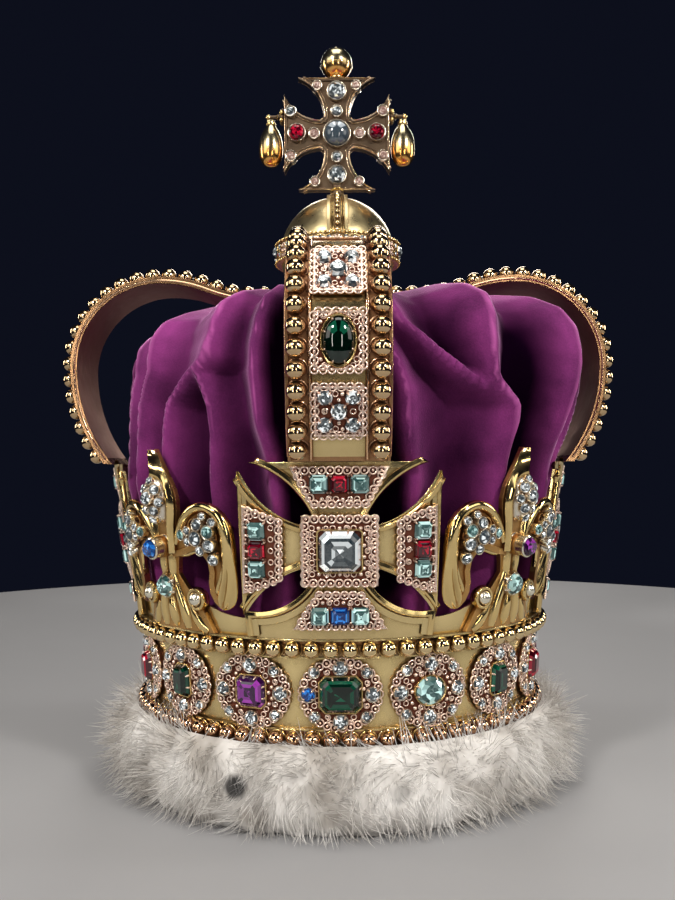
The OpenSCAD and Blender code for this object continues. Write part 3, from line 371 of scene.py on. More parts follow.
def piece(name, points, faces, material, smooth=True, sharp=None):
    """An object from points in millimetres, with smooth faces up to a sharp angle in degrees."""
    mesh = bpy.data.meshes.new(name)
    mesh.from_pydata([tuple(MM * value for value in point) for point in points], [], faces)
    for one in material if isinstance(material, list) else [material]:
        mesh.materials.append(one)
    mesh.polygons.foreach_set("use_smooth", [smooth] * len(mesh.polygons))
    if sharp:
        mesh.set_sharp_from_angle(angle=radians(sharp))
    mesh.validate()
    thing = placed(name, mesh)
    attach(thing, "root")
    return thing


def grid_faces(rows, columns, closed_rows=False, closed_columns=False, first=0):
    """Quads over rows of points that stand one after the other."""
    at = lambda i, j: first + i % rows * columns + j % columns
    return [(at(i, j), at(i, j + 1), at(i + 1, j + 1), at(i + 1, j))
            for i in range(rows - (not closed_rows)) for j in range(columns - (not closed_columns))]


def oval(a, b, count=40, offset=0.0):
    """Points round an oval with half axes a and b."""
    turns = [2 * pi * (k + offset) / count for k in range(count)]
    return [(a * cos(t), b * sin(t)) for t in turns]


class Wires:
    """Collects swept wires, strips and lofts, and makes one piece of them."""

    def __init__(self):
        self.points, self.faces = [], []

    def skin(self, rows, count, closed=False):
        """Faces round the rows of points that came last, with both ends shut unless they meet."""
        first = len(self.points) - rows * count
        self.faces += grid_faces(rows, count, closed, True, first)
        if not closed:
            self.faces.append([first + k for k in range(count)][::-1])
            self.faces.append([first + (rows - 1) * count + k for k in range(count)])

    def sweep(self, path, faces_out, profile):
        """Sweeps a profile, pairs of sideways and outward, along a path with its outward directions."""
        path = [Vector(p) for p in path]
        for i, (here, out) in enumerate(zip(path, faces_out)):
            along = (path[min(i + 1, len(path) - 1)] - path[max(i - 1, 0)]).normalized()
            out = Vector(out).normalized()
            side = along.cross(out).normalized()
            self.points += [here + side * s + out * o for s, o in profile]
        self.skin(len(path), len(profile))

    def made(self, name, material, sharp=35):
        return outward(piece(name, self.points, self.faces, material, sharp=sharp))


# %% [markdown]
# ## Cutting stones
# A brilliant has a flat table, a ring of kites and triangles, and a girdle; a step cut has rows of long
# facets. Both are rings of points joined by faces. Each face gets a painted light, from dark to bright, by a
# fixed seed, and a polished dome gets two painted crescents of light near its upper end.

# %% Cuts
def clipped(a, b, corner=0.16):
    """A rectangle with cut corners, as eight points."""
    x, y, c = a / 2, b / 2, corner * min(a, b)
    quarter = [(x, c - y), (x, y - c), (x - c, y), (c - x, y)]
    return quarter + [(-x, y - c), (-x, c - y), (c - x, -y), (x - c, -y)]


def cut_stone(cut, a, b, h):
    """Points and faces of a stone: rings of points, and a point in the middle of its top."""
    if cut == "step":
        levels = ((0, -1), (0, 0.25), (0.3, 0.58), (0.62, 0.85), (0.95, 1.0), (1.45, 1.0), (1.85, 1.0))
        inset = 0.42 * min(a, b)
        rings = [(clipped(a - s * inset, b - s * inset), z) for s, z in levels]
    elif cut == "brilliant":
        levels = ((1, -1, 0), (1, 0.3, 0), (0.83, 0.72, 0.5), (0.58, 1, 0), (0.34, 1, 0.5))
        count = 8 if a < 5 else 12
        rings = [(oval(s * a / 2, s * b / 2, count, offset), z) for s, z, offset in levels]
    else:
        levels = [(1, -1), (1, 0.1)] + [(cos(t / 5), 0.1 + 0.9 * sin(t / 5)) for t in range(1, 8)]
        rings = [(oval(s * a / 2, s * b / 2, 32), z) for s, z in levels]
    count, last = len(rings[0][0]), len(rings) - 1
    points = [(x, y, -1.0 if z < 0 else z * h) for line, z in rings for x, y in line] + [(0, 0, h)]
    top = [(last * count + k, last * count + (k + 1) % count, len(points) - 1) for k in range(count)]
    return points, grid_faces(last + 1, count, closed_columns=True) + top


def glint(points, face, a, b):
    """Painted light of a face of a cabochon: two highlight crescents near its upper end, a dimmer band near
    its lower end, and a dark middle.
    """
    x, y = (sum(points[k][axis] for k in face) / len(face) / size * 2 for axis, size in ((0, a), (1, b)))
    reach, turn = hypot(x, y), abs(degrees(atan2(x, y)))
    if 0.42 < reach < 0.8 and 9 < turn < 58:
        return 0.9
    return 0.2 if 0.55 < reach < 0.9 and turn > 130 else 0.03


COLOURS = list(STONES)
PAINTED_FACET_LIGHTS = (0.0, 0.06, 0.15, 0.3, 0.7, 1.0)


def jewels(name, stones, nodes):
    """One piece of cut stones, each a frame, a cut, its width, length and height, and a colour."""
    dice = random.Random(name)
    points, faces, painted_facets, slots, rounds = [], [], [], [], []
    for place, cut, a, b, h, colour in stones:
        own, own_faces = cut_stone(cut, a, b, h)
        domed = cut == "cabochon"
        faces += [tuple(len(points) + k for k in face) for face in own_faces]
        points += [place @ Vector(p) for p in own]
        slots += [COLOURS.index(colour)] * len(own_faces)
        rounds += [domed] * len(own_faces)
        # Painted light of each face: highlight crescents on a dome, a random bright or dark facet otherwise
        painted_facets += [glint(own, face, a, b) if domed else dice.choice(PAINTED_FACET_LIGHTS) for face in own_faces]
    thing = piece(name, points, faces, [STONES[c] for c in COLOURS], smooth=False)
    thing.data.polygons.foreach_set("material_index", slots)
    thing.data.polygons.foreach_set("use_smooth", rounds)
    numbered(thing, "painted_facet_light", "FACE", painted_facets)
    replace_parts(thing, *nodes)
    print(name, "stones:", len(stones), "faces:", len(faces))


# %% [markdown]
# ## Where every stone sits
# The band has a main stone in each cluster with four side stones and four chips round it. Each cross has a
# square in the middle and three squares on each arm, and each half arch has four plates: two with five
# stones and two with an oval. One list of seats serves the stones, the filigree and the collets.

# %% Stones of the band
MAIN_STONES = {"E": ("step", 15.5, 13.5, "emerald"), "Q": ("brilliant", 12.5, 11, "aquamarine"),
               "T": ("step", 8.5, 12.5, "emerald"), "R": ("step", 11, 12, "ruby"),
               "P": ("cabochon", 12.5, 11, "tourmaline"), "A": ("step", 12, 12, "amethyst")}
BAND_STONES = [MAIN_STONES[letter] for letter in "EQTRPATQEATQPRTA"]
SIDE_D, CHIP_D = 5.3, 3.7
SIDE_PLACES = [(cos(k * pi / 2) * (10.4 if k % 2 else 12.2), sin(k * pi / 2) * 10.4) for k in range(4)]
CHIP_PLACES = [(x * 9.9, y * 8.6) for x in (-1, 1) for y in (-1, 1)]
SMALL_STONES = ((SIDE_PLACES, SIDE_D, 0.5, 1.9), (CHIP_PLACES, CHIP_D, 0.4, 1.4))
BLUE_STONE = (0, SIDE_PLACES[2])  # on the left of the front cluster


def band_plate(i):
    """Gives frames on the plate of a cluster, x and y from its middle."""
    return lambda x, y, up=0.0: on_band(i * pi / 8 + x / CLUSTER_R, CLUSTER_Z + y, PLATE_T + up)


band_stones = []
for i, (cut, a, b, colour) in enumerate(BAND_STONES):
    spot = band_plate(i)
    band_stones.append((spot(0, 0), cut, a, b, 3.8, colour))
    for places, d, up, h in SMALL_STONES:
        for place in places:
            tint = "sapphire" if (i, place) == BLUE_STONE else "crystal"
            band_stones.append((spot(*place, up), "brilliant", d, d, h, tint))
band_nodes = [f"circlet_stone_{i + 1:02d}" for i in range(len(BAND_STONES))]
jewels("band_stones", band_stones, ["circlet_side_stones"] + band_nodes)

# %% Stones of the crosses
SQUARE, ARM_SQUARE, ARM_STEP = 15.4, 6.9, 7.4
ARM_SEATS = []
for turn, far in enumerate((30.4, 25.2, 30.4, 24.8)):
    for k in (-1, 0, 1):
        y = k * ARM_STEP
        middle = "sapphire" if turn == 3 else "ruby"
        ARM_SEATS.append((*((far, y), (y, far), (-far, y), (y, -far))[turn], "aquamarine" if k else middle))


def cross_plate(quarter, over=PLATE_H):
    """Gives frames on a cross, x and y from its middle."""
    return lambda x, y, up=0.0: on_cone(x, CROSS_Z + y, CUT_METAL + over + up, quarter)


cross_stones = []
for spot in map(cross_plate, range(4)):
    cross_stones.append((spot(0, 0), "step", SQUARE, SQUARE, 4.4, "crystal"))
    cross_stones += [(spot(x, y), "step", ARM_SQUARE, ARM_SQUARE, 2.4, tint) for x, y, tint in ARM_SEATS]
jewels("cross_stones", cross_stones, [f"cross_stones_{side}" for side in SIDES])

# %% Stones of the arches
OVAL_W, OVAL_L, FIVE_D, FIVE_X, FIVE_IN = 11.6, 16.9, 5.6, 5.0, 4.4
ARCH_PLATES = ((0.125, 19, 6), (0.28, 21, "oval"), (0.45, 21, 7), (0.78, 21, "oval"))


def flat_plate(centre):
    """Gives frames on a flat plate, x and y from its middle."""
    return lambda x, y, up=0.0: centre @ moved(x, y, up)


ARCH_SEATS = []  # frames, half length, "oval" or the width of the middle stone, places of the others
for quarter in range(4):
    for share, length, kind in ARCH_PLATES:
        x, y = FIVE_X, length / 2 - FIVE_IN
        corners = [] if kind == "oval" else [(-x, -y), (-x, y), (x, -y), (x, y)]
        seat = flat_plate(on_arch(share * BENDS, 0, PLATE_T - 1.6, quarter))
        ARCH_SEATS.append((seat, length / 2, kind, corners))
arch_stones = []
for spot, half, kind, corners in ARCH_SEATS:
    if kind == "oval":
        arch_stones.append((spot(0, 0), "cabochon", OVAL_W, OVAL_L, 4.0, "emerald"))
    else:
        arch_stones.append((spot(0, 0), "brilliant", kind, kind, 3.0, "crystal"))
    arch_stones += [(spot(x, y), "brilliant", FIVE_D, FIVE_D, 2.6, "crystal") for x, y in corners]
jewels("arch_stones", arch_stones, [f"arch_stones_{side}" for side in SIDES])

# %% [markdown]
# ## Filigree
# The plates under the stones are pierced wirework: loops along the edge, scrolls and grains in between, and
# claws over the stones. Geometry Nodes put one small shape on many points. Each point carries its turn and
# size as attributes, worked out from the plate that it stands on.

# %% Geometry Nodes that put a shape on points
def new_tree(name, sockets):
    """The graph of a tree with named inputs and one output, and its inputs as values."""
    tree = bpy.data.node_groups.new(name, "GeometryNodeTree")
    for label, kind in sockets.items():
        tree.interface.new_socket(name=label, in_out="INPUT", socket_type="NodeSocket" + kind)
    tree.interface.new_socket(name="Made", in_out="OUTPUT", socket_type="NodeSocketGeometry")
    graph = Graph(tree)
    entry = tree.nodes.new("NodeGroupInput")
    return graph, {socket.name: Value(graph, socket) for socket in entry.outputs if socket.name}


def geometry(graph, kind, inputs, settings=None, out=0):
    return graph.node("GeometryNode" + kind, settings or {}, inputs, out)


def finish_tree(graph, shapes, material):
    """Ends a tree: its shapes get their material and go out."""
    made = geometry(graph, "SetMaterial", {"Geometry": shapes, "Material": material})
    graph.tree.links.new(made.socket, graph.tree.nodes.new("NodeGroupOutput").inputs[0])
    return graph.tree


def planting(kind, shape, sizes, wired):
    """A tree that puts a shape on each point, turned and sized by the point's attributes."""
    sockets = {"Points": "Geometry", "Metal": "Material", "Loop": "Float", "Wire": "Float"}
    graph, given = new_tree(kind, sockets)
    turn, size = (geometry(graph, "InputNamedAttribute", {"Name": name}, {"data_type": data})
                  for name, data in (("turn", "QUATERNION"), ("size", "FLOAT_VECTOR")))
    made = geometry(graph, shape, {label: given.get(value, value) for label, value in sizes.items()})
    if wired:
        wire = geometry(graph, "CurvePrimitiveCircle", {"Resolution": 5, "Radius": given["Wire"]})
        made = geometry(graph, "CurveToMesh", {"Curve": made, "Profile Curve": wire})
    made = geometry(graph, "InstanceOnPoints", {"Points": given["Points"], "Instance": made,
                                                "Rotation": turn, "Scale": size})
    return finish_tree(graph, geometry(graph, "RealizeInstances", {"Geometry": made}), given["Metal"])


SCROLL = {"Resolution": 12, "Rotations": 1.6, "Start Radius": "Wire", "End Radius": "Loop", "Height": 0.0}
CUP = {"Resolution": 13, "Radius": "Loop", "Start Angle": radians(-205), "Sweep Angle": radians(230)}
TREES = {kind: planting(kind, *shape) for kind, shape in {
    "loop": ("CurvePrimitiveCircle", {"Resolution": 11, "Radius": "Loop"}, True),
    "scroll": ("CurveSpiral", SCROLL, True), "cup": ("CurveArc", CUP, True),
    "grain": ("MeshUVSphere", {"Segments": 8, "Rings": 6, "Radius": "Loop"}, False),
    "bead": ("MeshUVSphere", {"Segments": 20, "Rings": 12, "Radius": "Loop"}, False)}.items()}


def grow(name, bed, tree, values):
    """Runs a tree on an object, and keeps what it makes as a piece of plain mesh."""
    grower = bed.modifiers.new(name, "NODES")
    grower.node_group = tree
    for socket in tree.interface.items_tree:
        if socket.in_out == "INPUT" and socket.name in values:
            grower[socket.identifier] = values[socket.name]
    bpy.context.view_layer.update()
    grown = bpy.data.meshes.new_from_object(bed.evaluated_get(bpy.context.evaluated_depsgraph_get()))
    bed.modifiers.remove(grower)
    grown.polygons.foreach_set("use_smooth", [True] * len(grown.polygons))
    thing = placed(name, grown)
    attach(thing, "root")
    print(name, "faces:", len(grown.polygons))
    return thing


def plant(name, kind, places, metal, loop=1.0, wire=0.2):
    """One piece of a shape on places, each a frame and a size, the loop and wire radii in millimetres."""
    mesh = bpy.data.meshes.new(name)
    mesh.from_pydata([MM * place.translation for place, _ in places], [], [])
    mesh.attributes.new("turn", "QUATERNION", "POINT")
    mesh.attributes.new("size", "FLOAT_VECTOR", "POINT")
    turns = [value for place, _ in places for value in place.to_quaternion()]
    sizes = [value for _, size in places for value in (size if isinstance(size, tuple) else (size,) * 3)]
    mesh.attributes["turn"].data.foreach_set("value", turns)
    mesh.attributes["size"].data.foreach_set("vector", sizes)
    bed = placed("bed of points", mesh)
    grow(name, bed, TREES[kind], {"Loop": loop * MM, "Wire": wire * MM, "Metal": metal})
    bpy.data.objects.remove(bed)


# %% Beads and bead cups
BEADS_ROUND, BEADS_ALONG, BEAD_STEP = 80, 23, 7.6
BAND_BEAD_R, ARCH_BEAD_R = 3.3, 3.55
cups = []
for z, row, metal, way in ((LOWER_BEADS_Z, "lower", red_gold, pi), (UPPER_BEADS_Z, "upper", bead_gold, 0.0)):
    turns = [(k + 0.5) * 2 * pi / BEADS_ROUND for k in range(BEADS_ROUND)]
    balls = [(on_band(t, z, BAND_BEAD_R), 1.0) for t in turns]
    plant(f"{row}_bead_balls", "bead", balls, metal, loop=BAND_BEAD_R)
    cups += [(on_band(t, z, 2.0) @ spun(way), 1.0) for t in turns]
plant("band_bead_cups", "cup", cups, polished, loop=3.45, wire=0.4)
arch_row = [(5 + BEAD_STEP * k, side, q) for q in range(4) for k in range(BEADS_ALONG) for side in (-1, 1)]
cups = [(on_arch(along, side * 14.6, -1.2, q) @ spun(pi), 1.0) for along, side, q in arch_row]
balls = [(on_arch(along, side * 15.2, 0.45, q), 1.0) for along, side, q in arch_row]
plant("arch_bead_cups", "cup", cups, copper_edge, loop=3.75, wire=0.35)
plant("arch_bead_balls", "bead", balls, arch_beads, loop=ARCH_BEAD_R)


# %% Places for the filigree of a plate
def edges_of(outline):
    return list(zip(outline, outline[1:] + outline[:1]))


def inside(x, y, outline):
    """Whether a point lies inside a closed outline: an odd number of edges passes beside it."""
    return sum((y0 > y) != (y1 > y) and x < (x1 - x0) * (y - y0) / (y1 - y0) + x0
               for (x0, y0), (x1, y1) in edges_of(outline)) % 2 == 1


def clear_of(x, y, stones, room):
    return all((abs(x - sx) / (a / 2 + room)) ** power + (abs(y - sy) / (b / 2 + room)) ** power > 1
               for sx, sy, a, b, power in stones)


def clamp(t):
    return max(0.0, min(1.0, t))


def near_edge(x, y, outline, distance):
    point = Vector((x, y))
    for p, q in edges_of(outline):
        p, way = Vector(p), Vector(q) - Vector(p)
        t = clamp((point - p).dot(way) / max(way.length_squared, 1e-9))
        if (p + way * t - point).length < distance:
            return True
    return False


def along_outline(outline, pitch):
    """Points at about a pitch along a closed outline."""
    length = sum(dist(p, q) for p, q in edges_of(outline))
    count = max(4, round(length / pitch))
    found, walked, due = [], 0.0, 0.0
    for p, q in edges_of(outline):
        step = dist(p, q)
        while due < walked + step - 1e-6 and len(found) < count:
            t = (due - walked) / step
            found.append((p[0] + (q[0] - p[0]) * t, p[1] + (q[1] - p[1]) * t))
            due += length / count
        walked += step
    return found


EDGE_PITCH, FIELD_PITCH, ROW_SHARE = 3.1, 2.5, 0.87


class Filigree:
    """The wirework of some plates, in three lists of places."""

    def __init__(self):
        self.loops, self.scrolls, self.grains = [], [], []

    def plate(self, spot, outline, stones):
        """Adds the wirework of a plate: its outline, and stones with a power for their form."""
        for x, y in along_outline(outline, EDGE_PITCH):
            x, y = x * 0.985, y * 0.985
            self.loops.append((spot(x, y, 0.35), (1.5, 1.5, 1.9)))
            if clear_of(x, y, stones, 0.4):
                self.grains.append((spot(x, y, 0.4), 0.62))
        for i in range(-16, 17):
            for j in range(-16, 17):
                x, y = (i + 0.5 * (j % 2)) * FIELD_PITCH, j * FIELD_PITCH * ROW_SHARE
                if (not inside(x, y, outline) or near_edge(x, y, outline, 1.5)
                        or not clear_of(x, y, stones, 0.75)):
                    continue
                kind = (i * 5 + j * 3) % 3
                if kind == 0:
                    self.grains.append((spot(x, y, 0.35), 0.85))
                elif kind == 1:
                    self.loops.append((spot(x, y, 0.25), (1.0, 1.0, 1.5)))
                else:
                    self.scrolls.append((spot(x, y, 0.3) @ spun(i + 2.1 * j), (1.25, 1.25, 1.6)))
        for stone_place in stones:
            self.claws(spot, *stone_place)

    def claws(self, spot, x, y, a, b, power):
        """Adds claws that lean over a stone."""
        size = max(a, b)
        count, grain = 4 if size < 8 else 8, (0.32, 0.32, 1.3) if size < 4 else (0.5, 0.5, 2.0)
        for k in range(count):
            t = 2 * pi * (k + 0.5) / count
            reach = 1.0 if power == 2 else min(1 / abs(cos(t)), 1 / abs(sin(t))) * 0.97
            foot = spot(x + a / 2 * reach * cos(t), y + b / 2 * reach * sin(t), 0.5)
            self.grains.append((foot @ spun(t) @ spun(radians(-22), "Y"), grain))

    def made(self, name):
        plant(f"{name}_filigree_loops", "loop", self.loops, rose, wire=0.25)
        plant(f"{name}_filigree_scrolls", "scroll", self.scrolls, rose, wire=0.24)
        plant(f"{name}_filigree_grains", "grain", self.grains, rose)


# %% Filigree of the band, the crosses and the arches
ROUND, SQUARED = 2, 6
filigree = Filigree()
for i, (cut, a, b, colour) in enumerate(BAND_STONES):
    around = [(0, 0, a, b, SQUARED if cut == "step" else ROUND)]
    around += [(x, y, d, d, ROUND) for places, d, up, h in SMALL_STONES for x, y in places]
    filigree.plate(band_plate(i), oval(15.0, 13.2), around)
filigree.made("band")


def rectangle(x, y):
    return [(-x, -y), (x, -y), (x, y), (-x, y)]


CROSS_FIELDS = [rectangle(12.8, 12.3)]
beside = (22.4, 34.6, 11.0, 15.6)
above, below = (18.0, 30.7, 9.5, 16.3), (17.0, 29.1, 7.6, 15.2)
for turn, (near, far, low, wide) in enumerate((beside, above, beside, below)):
    corners = [(near, -low), (far, -wide), (far, wide), (near, low)]
    CROSS_FIELDS.append([tuple(Matrix.Rotation(turn * pi / 2, 2) @ Vector(c)) for c in corners])
filigree = Filigree()
around = [(0, 0, SQUARE, SQUARE, SQUARED)]
around += [(x, y, ARM_SQUARE, ARM_SQUARE, SQUARED) for x, y, _ in ARM_SEATS]
for spot in map(cross_plate, range(4)):
    for field in CROSS_FIELDS:
        filigree.plate(spot, field, around)
for spot, half, kind, corners in ARCH_SEATS:
    around = [(0, 0, OVAL_W, OVAL_L, ROUND) if kind == "oval" else (0, 0, 6.5, 6.5, ROUND)]
    around += [(x, y, FIVE_D, FIVE_D, ROUND) for x, y in corners]
    filigree.plate(spot, rectangle(8.7, half - 0.3), around)
filigree.made("cresting")

# %% [markdown]
# ## Mouldings, collets and turned work
# The arms of the crosses have raised bevelled rims, and every stone sits in a collet, a small wall of metal.
# Both are one profile taken round an outline, so one cell makes them: it shifts the outline sideways by each
# step of the profile, with true corners, and stands it on the surface that carries it.

# %% Outlines and profiles
def shifted(line, distance, closed):
    """An outline moved to the left of its way, with mitred corners."""
    found, n = [], len(line)
    for i in range(n):
        here = Vector(line[i])
        before = here - Vector(line[i - 1]) if closed or i else None
        after = Vector(line[(i + 1) % n]) - here if closed or i < n - 1 else None
        d0, d1 = (before or after).normalized(), (after or before).normalized()
        left, last = (Vector((-d0.y, d0.x)) + Vector((-d1.y, d1.x))).normalized(), Vector((-d1.y, d1.x))
        found.append(here + left * distance / max(0.35, left.dot(last)))
    return found


class Smithy(Wires):
    """Wires, with mouldings along outlines and turned work."""

    def moulding(self, place, line, profile, closed=True):
        """Takes a profile, pairs of sideways and outward, along an outline on a surface."""
        line = [Vector(p) for p in line]
        rails = [[place(*p, up).translation for p in shifted(line, side, closed)] for side, up in profile]
        self.points += [point for row in zip(*rails) for point in row]
        self.skin(len(line), len(profile), closed)

    def lathe(self, place, profile, sides=18, stretch=1.0):
        """Turns a profile, pairs of radius and height, on the axis of a frame, closed at its ends."""
        for r, h in profile:
            self.points += [place @ Vector((x, y, h)) for x, y in oval(r, r * stretch, sides)]
        self.skin(len(profile), sides)

    def ball(self, place, radius, sides=12):
        turns = [pi * (k / 8 - 0.5) for k in range(9)]
        self.lathe(place, [(max(0.01, radius * cos(t)), radius * sin(t)) for t in turns], sides)

    def collet(self, place, a, b=None, wall=0.8, height=0.9, foot=-0.4, sides=20):
        """A wall of metal round an oval stone."""
        r, b = a / 2, b or a
        wall_line = [(r - 0.1, foot), (r + wall, foot), (r + wall, height * 0.45), (r + wall * 0.7, height)]
        lip = [(r + wall * 0.15, height * 0.85), (r - 0.15, height * 0.3)]
        self.lathe(place, wall_line + lip, sides, b / a)


BEVEL = [(0.05, 1.6), (-0.05, 2.7), (0.5, 3.55), (1.1, 3.75), (2.6, 3.15), (2.75, 1.9)]
FRAME = [(0.0, -0.1), (0.0, 0.35), (0.35, 0.75), (0.85, 0.75), (1.15, 0.3), (1.15, -0.1)]
BEZEL = [(0.85, -0.2), (0.85, 0.5), (0.55, 1.0), (0.15, 0.95), (-0.05, 0.4), (-0.05, -0.2)]


def arc_between(p, q, radius, steps=14):
    """Points from p to q on a circle whose middle is on the left of the way."""
    half = (q - p) / 2
    middle = p + half + Vector((-half.y, half.x)).normalized() * sqrt(radius ** 2 - half.length_squared)
    a0, a1 = (atan2(*(end - middle).yx) for end in (p, q))
    sweep = (a1 - a0 + pi) % (2 * pi) - pi
    turns = [a0 + sweep * k / steps for k in range(steps + 1)]
    return [middle + radius * Vector((cos(t), sin(t))) for t in turns]


# %% Rims of the crosses
def flipped(line, x=1, y=1):
    return [Vector((p[0] * x, p[1] * y)) for p in line]


def arm(inner, outer, radius, edge_first, reach=CROSS_REACH, head=CROSS_HEAD, skip=12.0):
    """The edge of one arm in shares of reach and head, from the middle outwards."""
    p, q = flipped([inner, outer], reach, head)
    line = arc_between(q, p, radius * reach)[::-1] if edge_first else arc_between(p, q, radius * reach)
    return [point for point in line if max(abs(point.x), abs(point.y)) > skip]


upright = arm((0.26, 0.38), (0.876, 1.0), 0.97, True)
sideways = arm((0.36, 0.284), (1.0, 0.904), 0.97, False)
lower_upright = arm((0.216, 0.386), (0.863, 0.796), 0.71, True)
lower_side = arm((0.36, 0.198), (0.955, 0.757), 0.97, False)
foot = (0.84 * CROSS_REACH, -CROSS_HEAD)
ARM_LINES = [(flipped(upright, -1) + upright[::-1], -1), (sideways + flipped(lower_side, 1, -1)[::-1], -1),
             (flipped(sideways, -1) + flipped(lower_side, -1, -1)[::-1], 1),
             (flipped(lower_upright, 1, -1) + [foot], 1),
             (flipped(lower_upright, -1, -1) + flipped([foot], -1), -1)]
SEAM = [(-2.4, -0.1), (-2.2, 0.12), (2.2, 0.12), (2.4, -0.1)]
rims, seams = Smithy(), Smithy()
for quarter in range(4):
    for line, way in ARM_LINES:
        bevel = [(way * s, up) for s, up in BEVEL]
        rims.moulding(cross_plate(quarter, -CUT_METAL), line, bevel, closed=False)
    for side in (-1, 1):
        ends = flipped([(0.868, -0.805), (0.85, -1.0)], side * CROSS_REACH, CROSS_HEAD)
        seams.moulding(cross_plate(quarter, 0), ends, SEAM, closed=False)
rims.made("cross_rims", polished)
seams.made("seam_covers", matte)


# %% Plates of the crosses and arches
def sheet(points, faces, spot, corners, steps):
    """Adds a sheet between four corners that follows the surface."""
    a, b, c, d = (Vector(corner) for corner in corners)
    faces += [face[::-1] for face in grid_faces(steps + 1, steps + 1, first=len(points))]
    for u in range(steps + 1):
        for v in range(steps + 1):
            across, along = u / steps, v / steps
            p = (a * (1 - across) + b * across) * (1 - along) + (d * (1 - across) + c * across) * along
            points.append(spot(*p, 0.06).translation)


PLATE_HALF = 9
backs, back_faces = [], []
frames = Smithy()
for quarter in range(4):
    for field in CROSS_FIELDS:
        sheet(backs, back_faces, cross_plate(quarter), field, 8)
        frames.moulding(cross_plate(quarter), field, [(-s, up) for s, up in FRAME])
    for spot, half, _, _ in ARCH_SEATS[4 * quarter:4 * quarter + 4]:
        sheet(backs, back_faces, spot, rectangle(PLATE_HALF, half), 1)
        frames.moulding(spot, rectangle(PLATE_HALF, half), FRAME)
# A dark sheet under each plate's filigree is painted shade, seen through its holes
piece("plate_shade_backing", backs, back_faces, painted_shade_backing, smooth=False)
frames.made("plate_frames", rose)

# %% Collets of the stones
collets, small_collets = Smithy(), Smithy()
for i, (cut, a, b, colour) in enumerate(BAND_STONES):
    spot = band_plate(i)
    for places, d, _, _ in SMALL_STONES:
        for x, y in places:
            small_collets.collet(spot(x, y, 0.3), d, wall=0.55, height=1.0, foot=-0.6, sides=16)
    if cut == "step":
        collets.moulding(spot, clipped(a, b)[::-1], BEZEL)
    else:
        collets.collet(spot(0, 0), a, b, wall=0.9, height=1.2, sides=28)
for quarter in range(4):
    collets.moulding(cross_plate(quarter), clipped(SQUARE, SQUARE, 0.05)[::-1], BEZEL)
    for spot, _, kind, _ in ARCH_SEATS[4 * quarter:4 * quarter + 4]:
        if kind == "oval":
            collets.collet(spot(0, 0), OVAL_W, OVAL_L, wall=0.9, height=1.4, sides=32)
collets.made("stone_collets", polished)
small_collets.made("side_stone_collets", silvered)

# %% [markdown]
# ## The fleurs-de-lis
# Each lily has a ridged leaf in the middle, two petals that curl over and down to a fluted end, a stem with
# two small scrolls, a big stone in a deep drum, and heaps of clear stones in the hollows. The petals are
# lofts: a half-round profile that widens along a smooth line. The heaps are low domes set with stones.

# %% Petals
def curve_through(rows, steps):
    """Points of a smooth line through rows of numbers."""
    rows = np.array(rows, dtype=float)
    rows = np.vstack([2 * rows[0] - rows[1], rows, 2 * rows[-1] - rows[-2]])
    found = []
    for u in np.linspace(0, len(rows) - 3 - 1e-6, steps):
        i, t = int(u), u - int(u)
        a, b, c, d = rows[i:i + 4]
        square, cube = 2 * a - 5 * b + 4 * c - d, 3 * b - a - 3 * c + d
        found.append(0.5 * (2 * b + (c - a) * t + square * t * t + cube * t ** 3))
    return np.array(found)


def petal(smithy, place, rows, steps, columns=9, flutes=0):
    """A rounded strip along a line, fluted in its last part. Rows: x, z, half width, height."""
    line = curve_through(rows, steps)
    for i, (x, z, wide, high) in enumerate(line):
        along = Vector(line[min(steps - 1, i + 1)][:2] - line[max(0, i - 1)][:2]).normalized()
        fluted = 0.5 * clamp((i / (steps - 1) - 0.6) / 0.15)
        for k in range(columns):
            s = 2 * k / (columns - 1) - 1
            dome = sqrt(1 - s * s * 0.98) * (1 - fluted * (0.5 - 0.5 * cos(pi * flutes * (s + 1))))
            spot = place(x - along.y * s * wide, z + along.x * s * wide, 1.7 + dome * high)
            smithy.points.append(spot.translation)
        smithy.points.append(place(x, z, 0.6).translation)
    smithy.skin(steps, columns + 1)


def lily(quarter, side=1):
    """Gives frames on a lily, x and z from its middle, mirrored on side -1."""
    return lambda x, z, up=0.0: on_cone(side * x, FLEUR_Z + z, up, quarter + 0.5)


SIDE_PETAL = [(6, 1, 1.4, 1.6), (9.5, 6.5, 1.6, 2.2), (13.5, 11.6, 1.9, 2.6), (18.5, 15.0, 2.1, 2.8),
              (24, 15.9, 2.3, 3.0), (29, 13.6, 2.5, 3.2), (31.8, 8.8, 2.7, 3.3), (32.3, 2, 2.8, 3.3),
              (31.9, -5, 3.0, 3.3), (31.0, -11, 3.7, 3.2), (29.3, -16.5, 4.7, 3.0), (27.8, -20.5, 4.6, 2.6),
              (27.0, -23.4, 2.6, 1.6), (26.8, -24.5, 0.6, 0.5)]
INNER_EDGE = [(8, -3.4, 1.0, 0.9), (12, -3.2, 1.0, 1.2), (17, -1.8, 1.0, 1.3), (21.8, -3.2, 1.0, 1.3),
              (23.6, -7.5, 1.1, 1.3), (23.4, -12, 1.1, 1.2)]
STEM = [(2.9, -3.5, 2.0, 2.2), (2.9, -8, 1.9, 2.4), (2.6, -12, 1.7, 2.2), (4.2, -18, 2.0, 2.2),
        (6.2, -24, 2.4, 2.4), (7.0, -29, 2.6, 2.2), (7.4, -33.5, 2.0, 1.2)]
LEAF_ROOT = [(0, -20.5, 1.4, 2.0), (0, -25, 2.2, 2.8), (0, -30, 2.4, 2.4), (0, -33.5, 1.2, 1.0)]
OUTER_ROOT = [(10.5, -24, 1.2, 1.2), (12.5, -28, 2.2, 1.8), (15, -32, 2.4, 1.5), (18, -34, 1.6, 0.8)]
SCROLL_X, SCROLL_Z = 15.2, -20.7
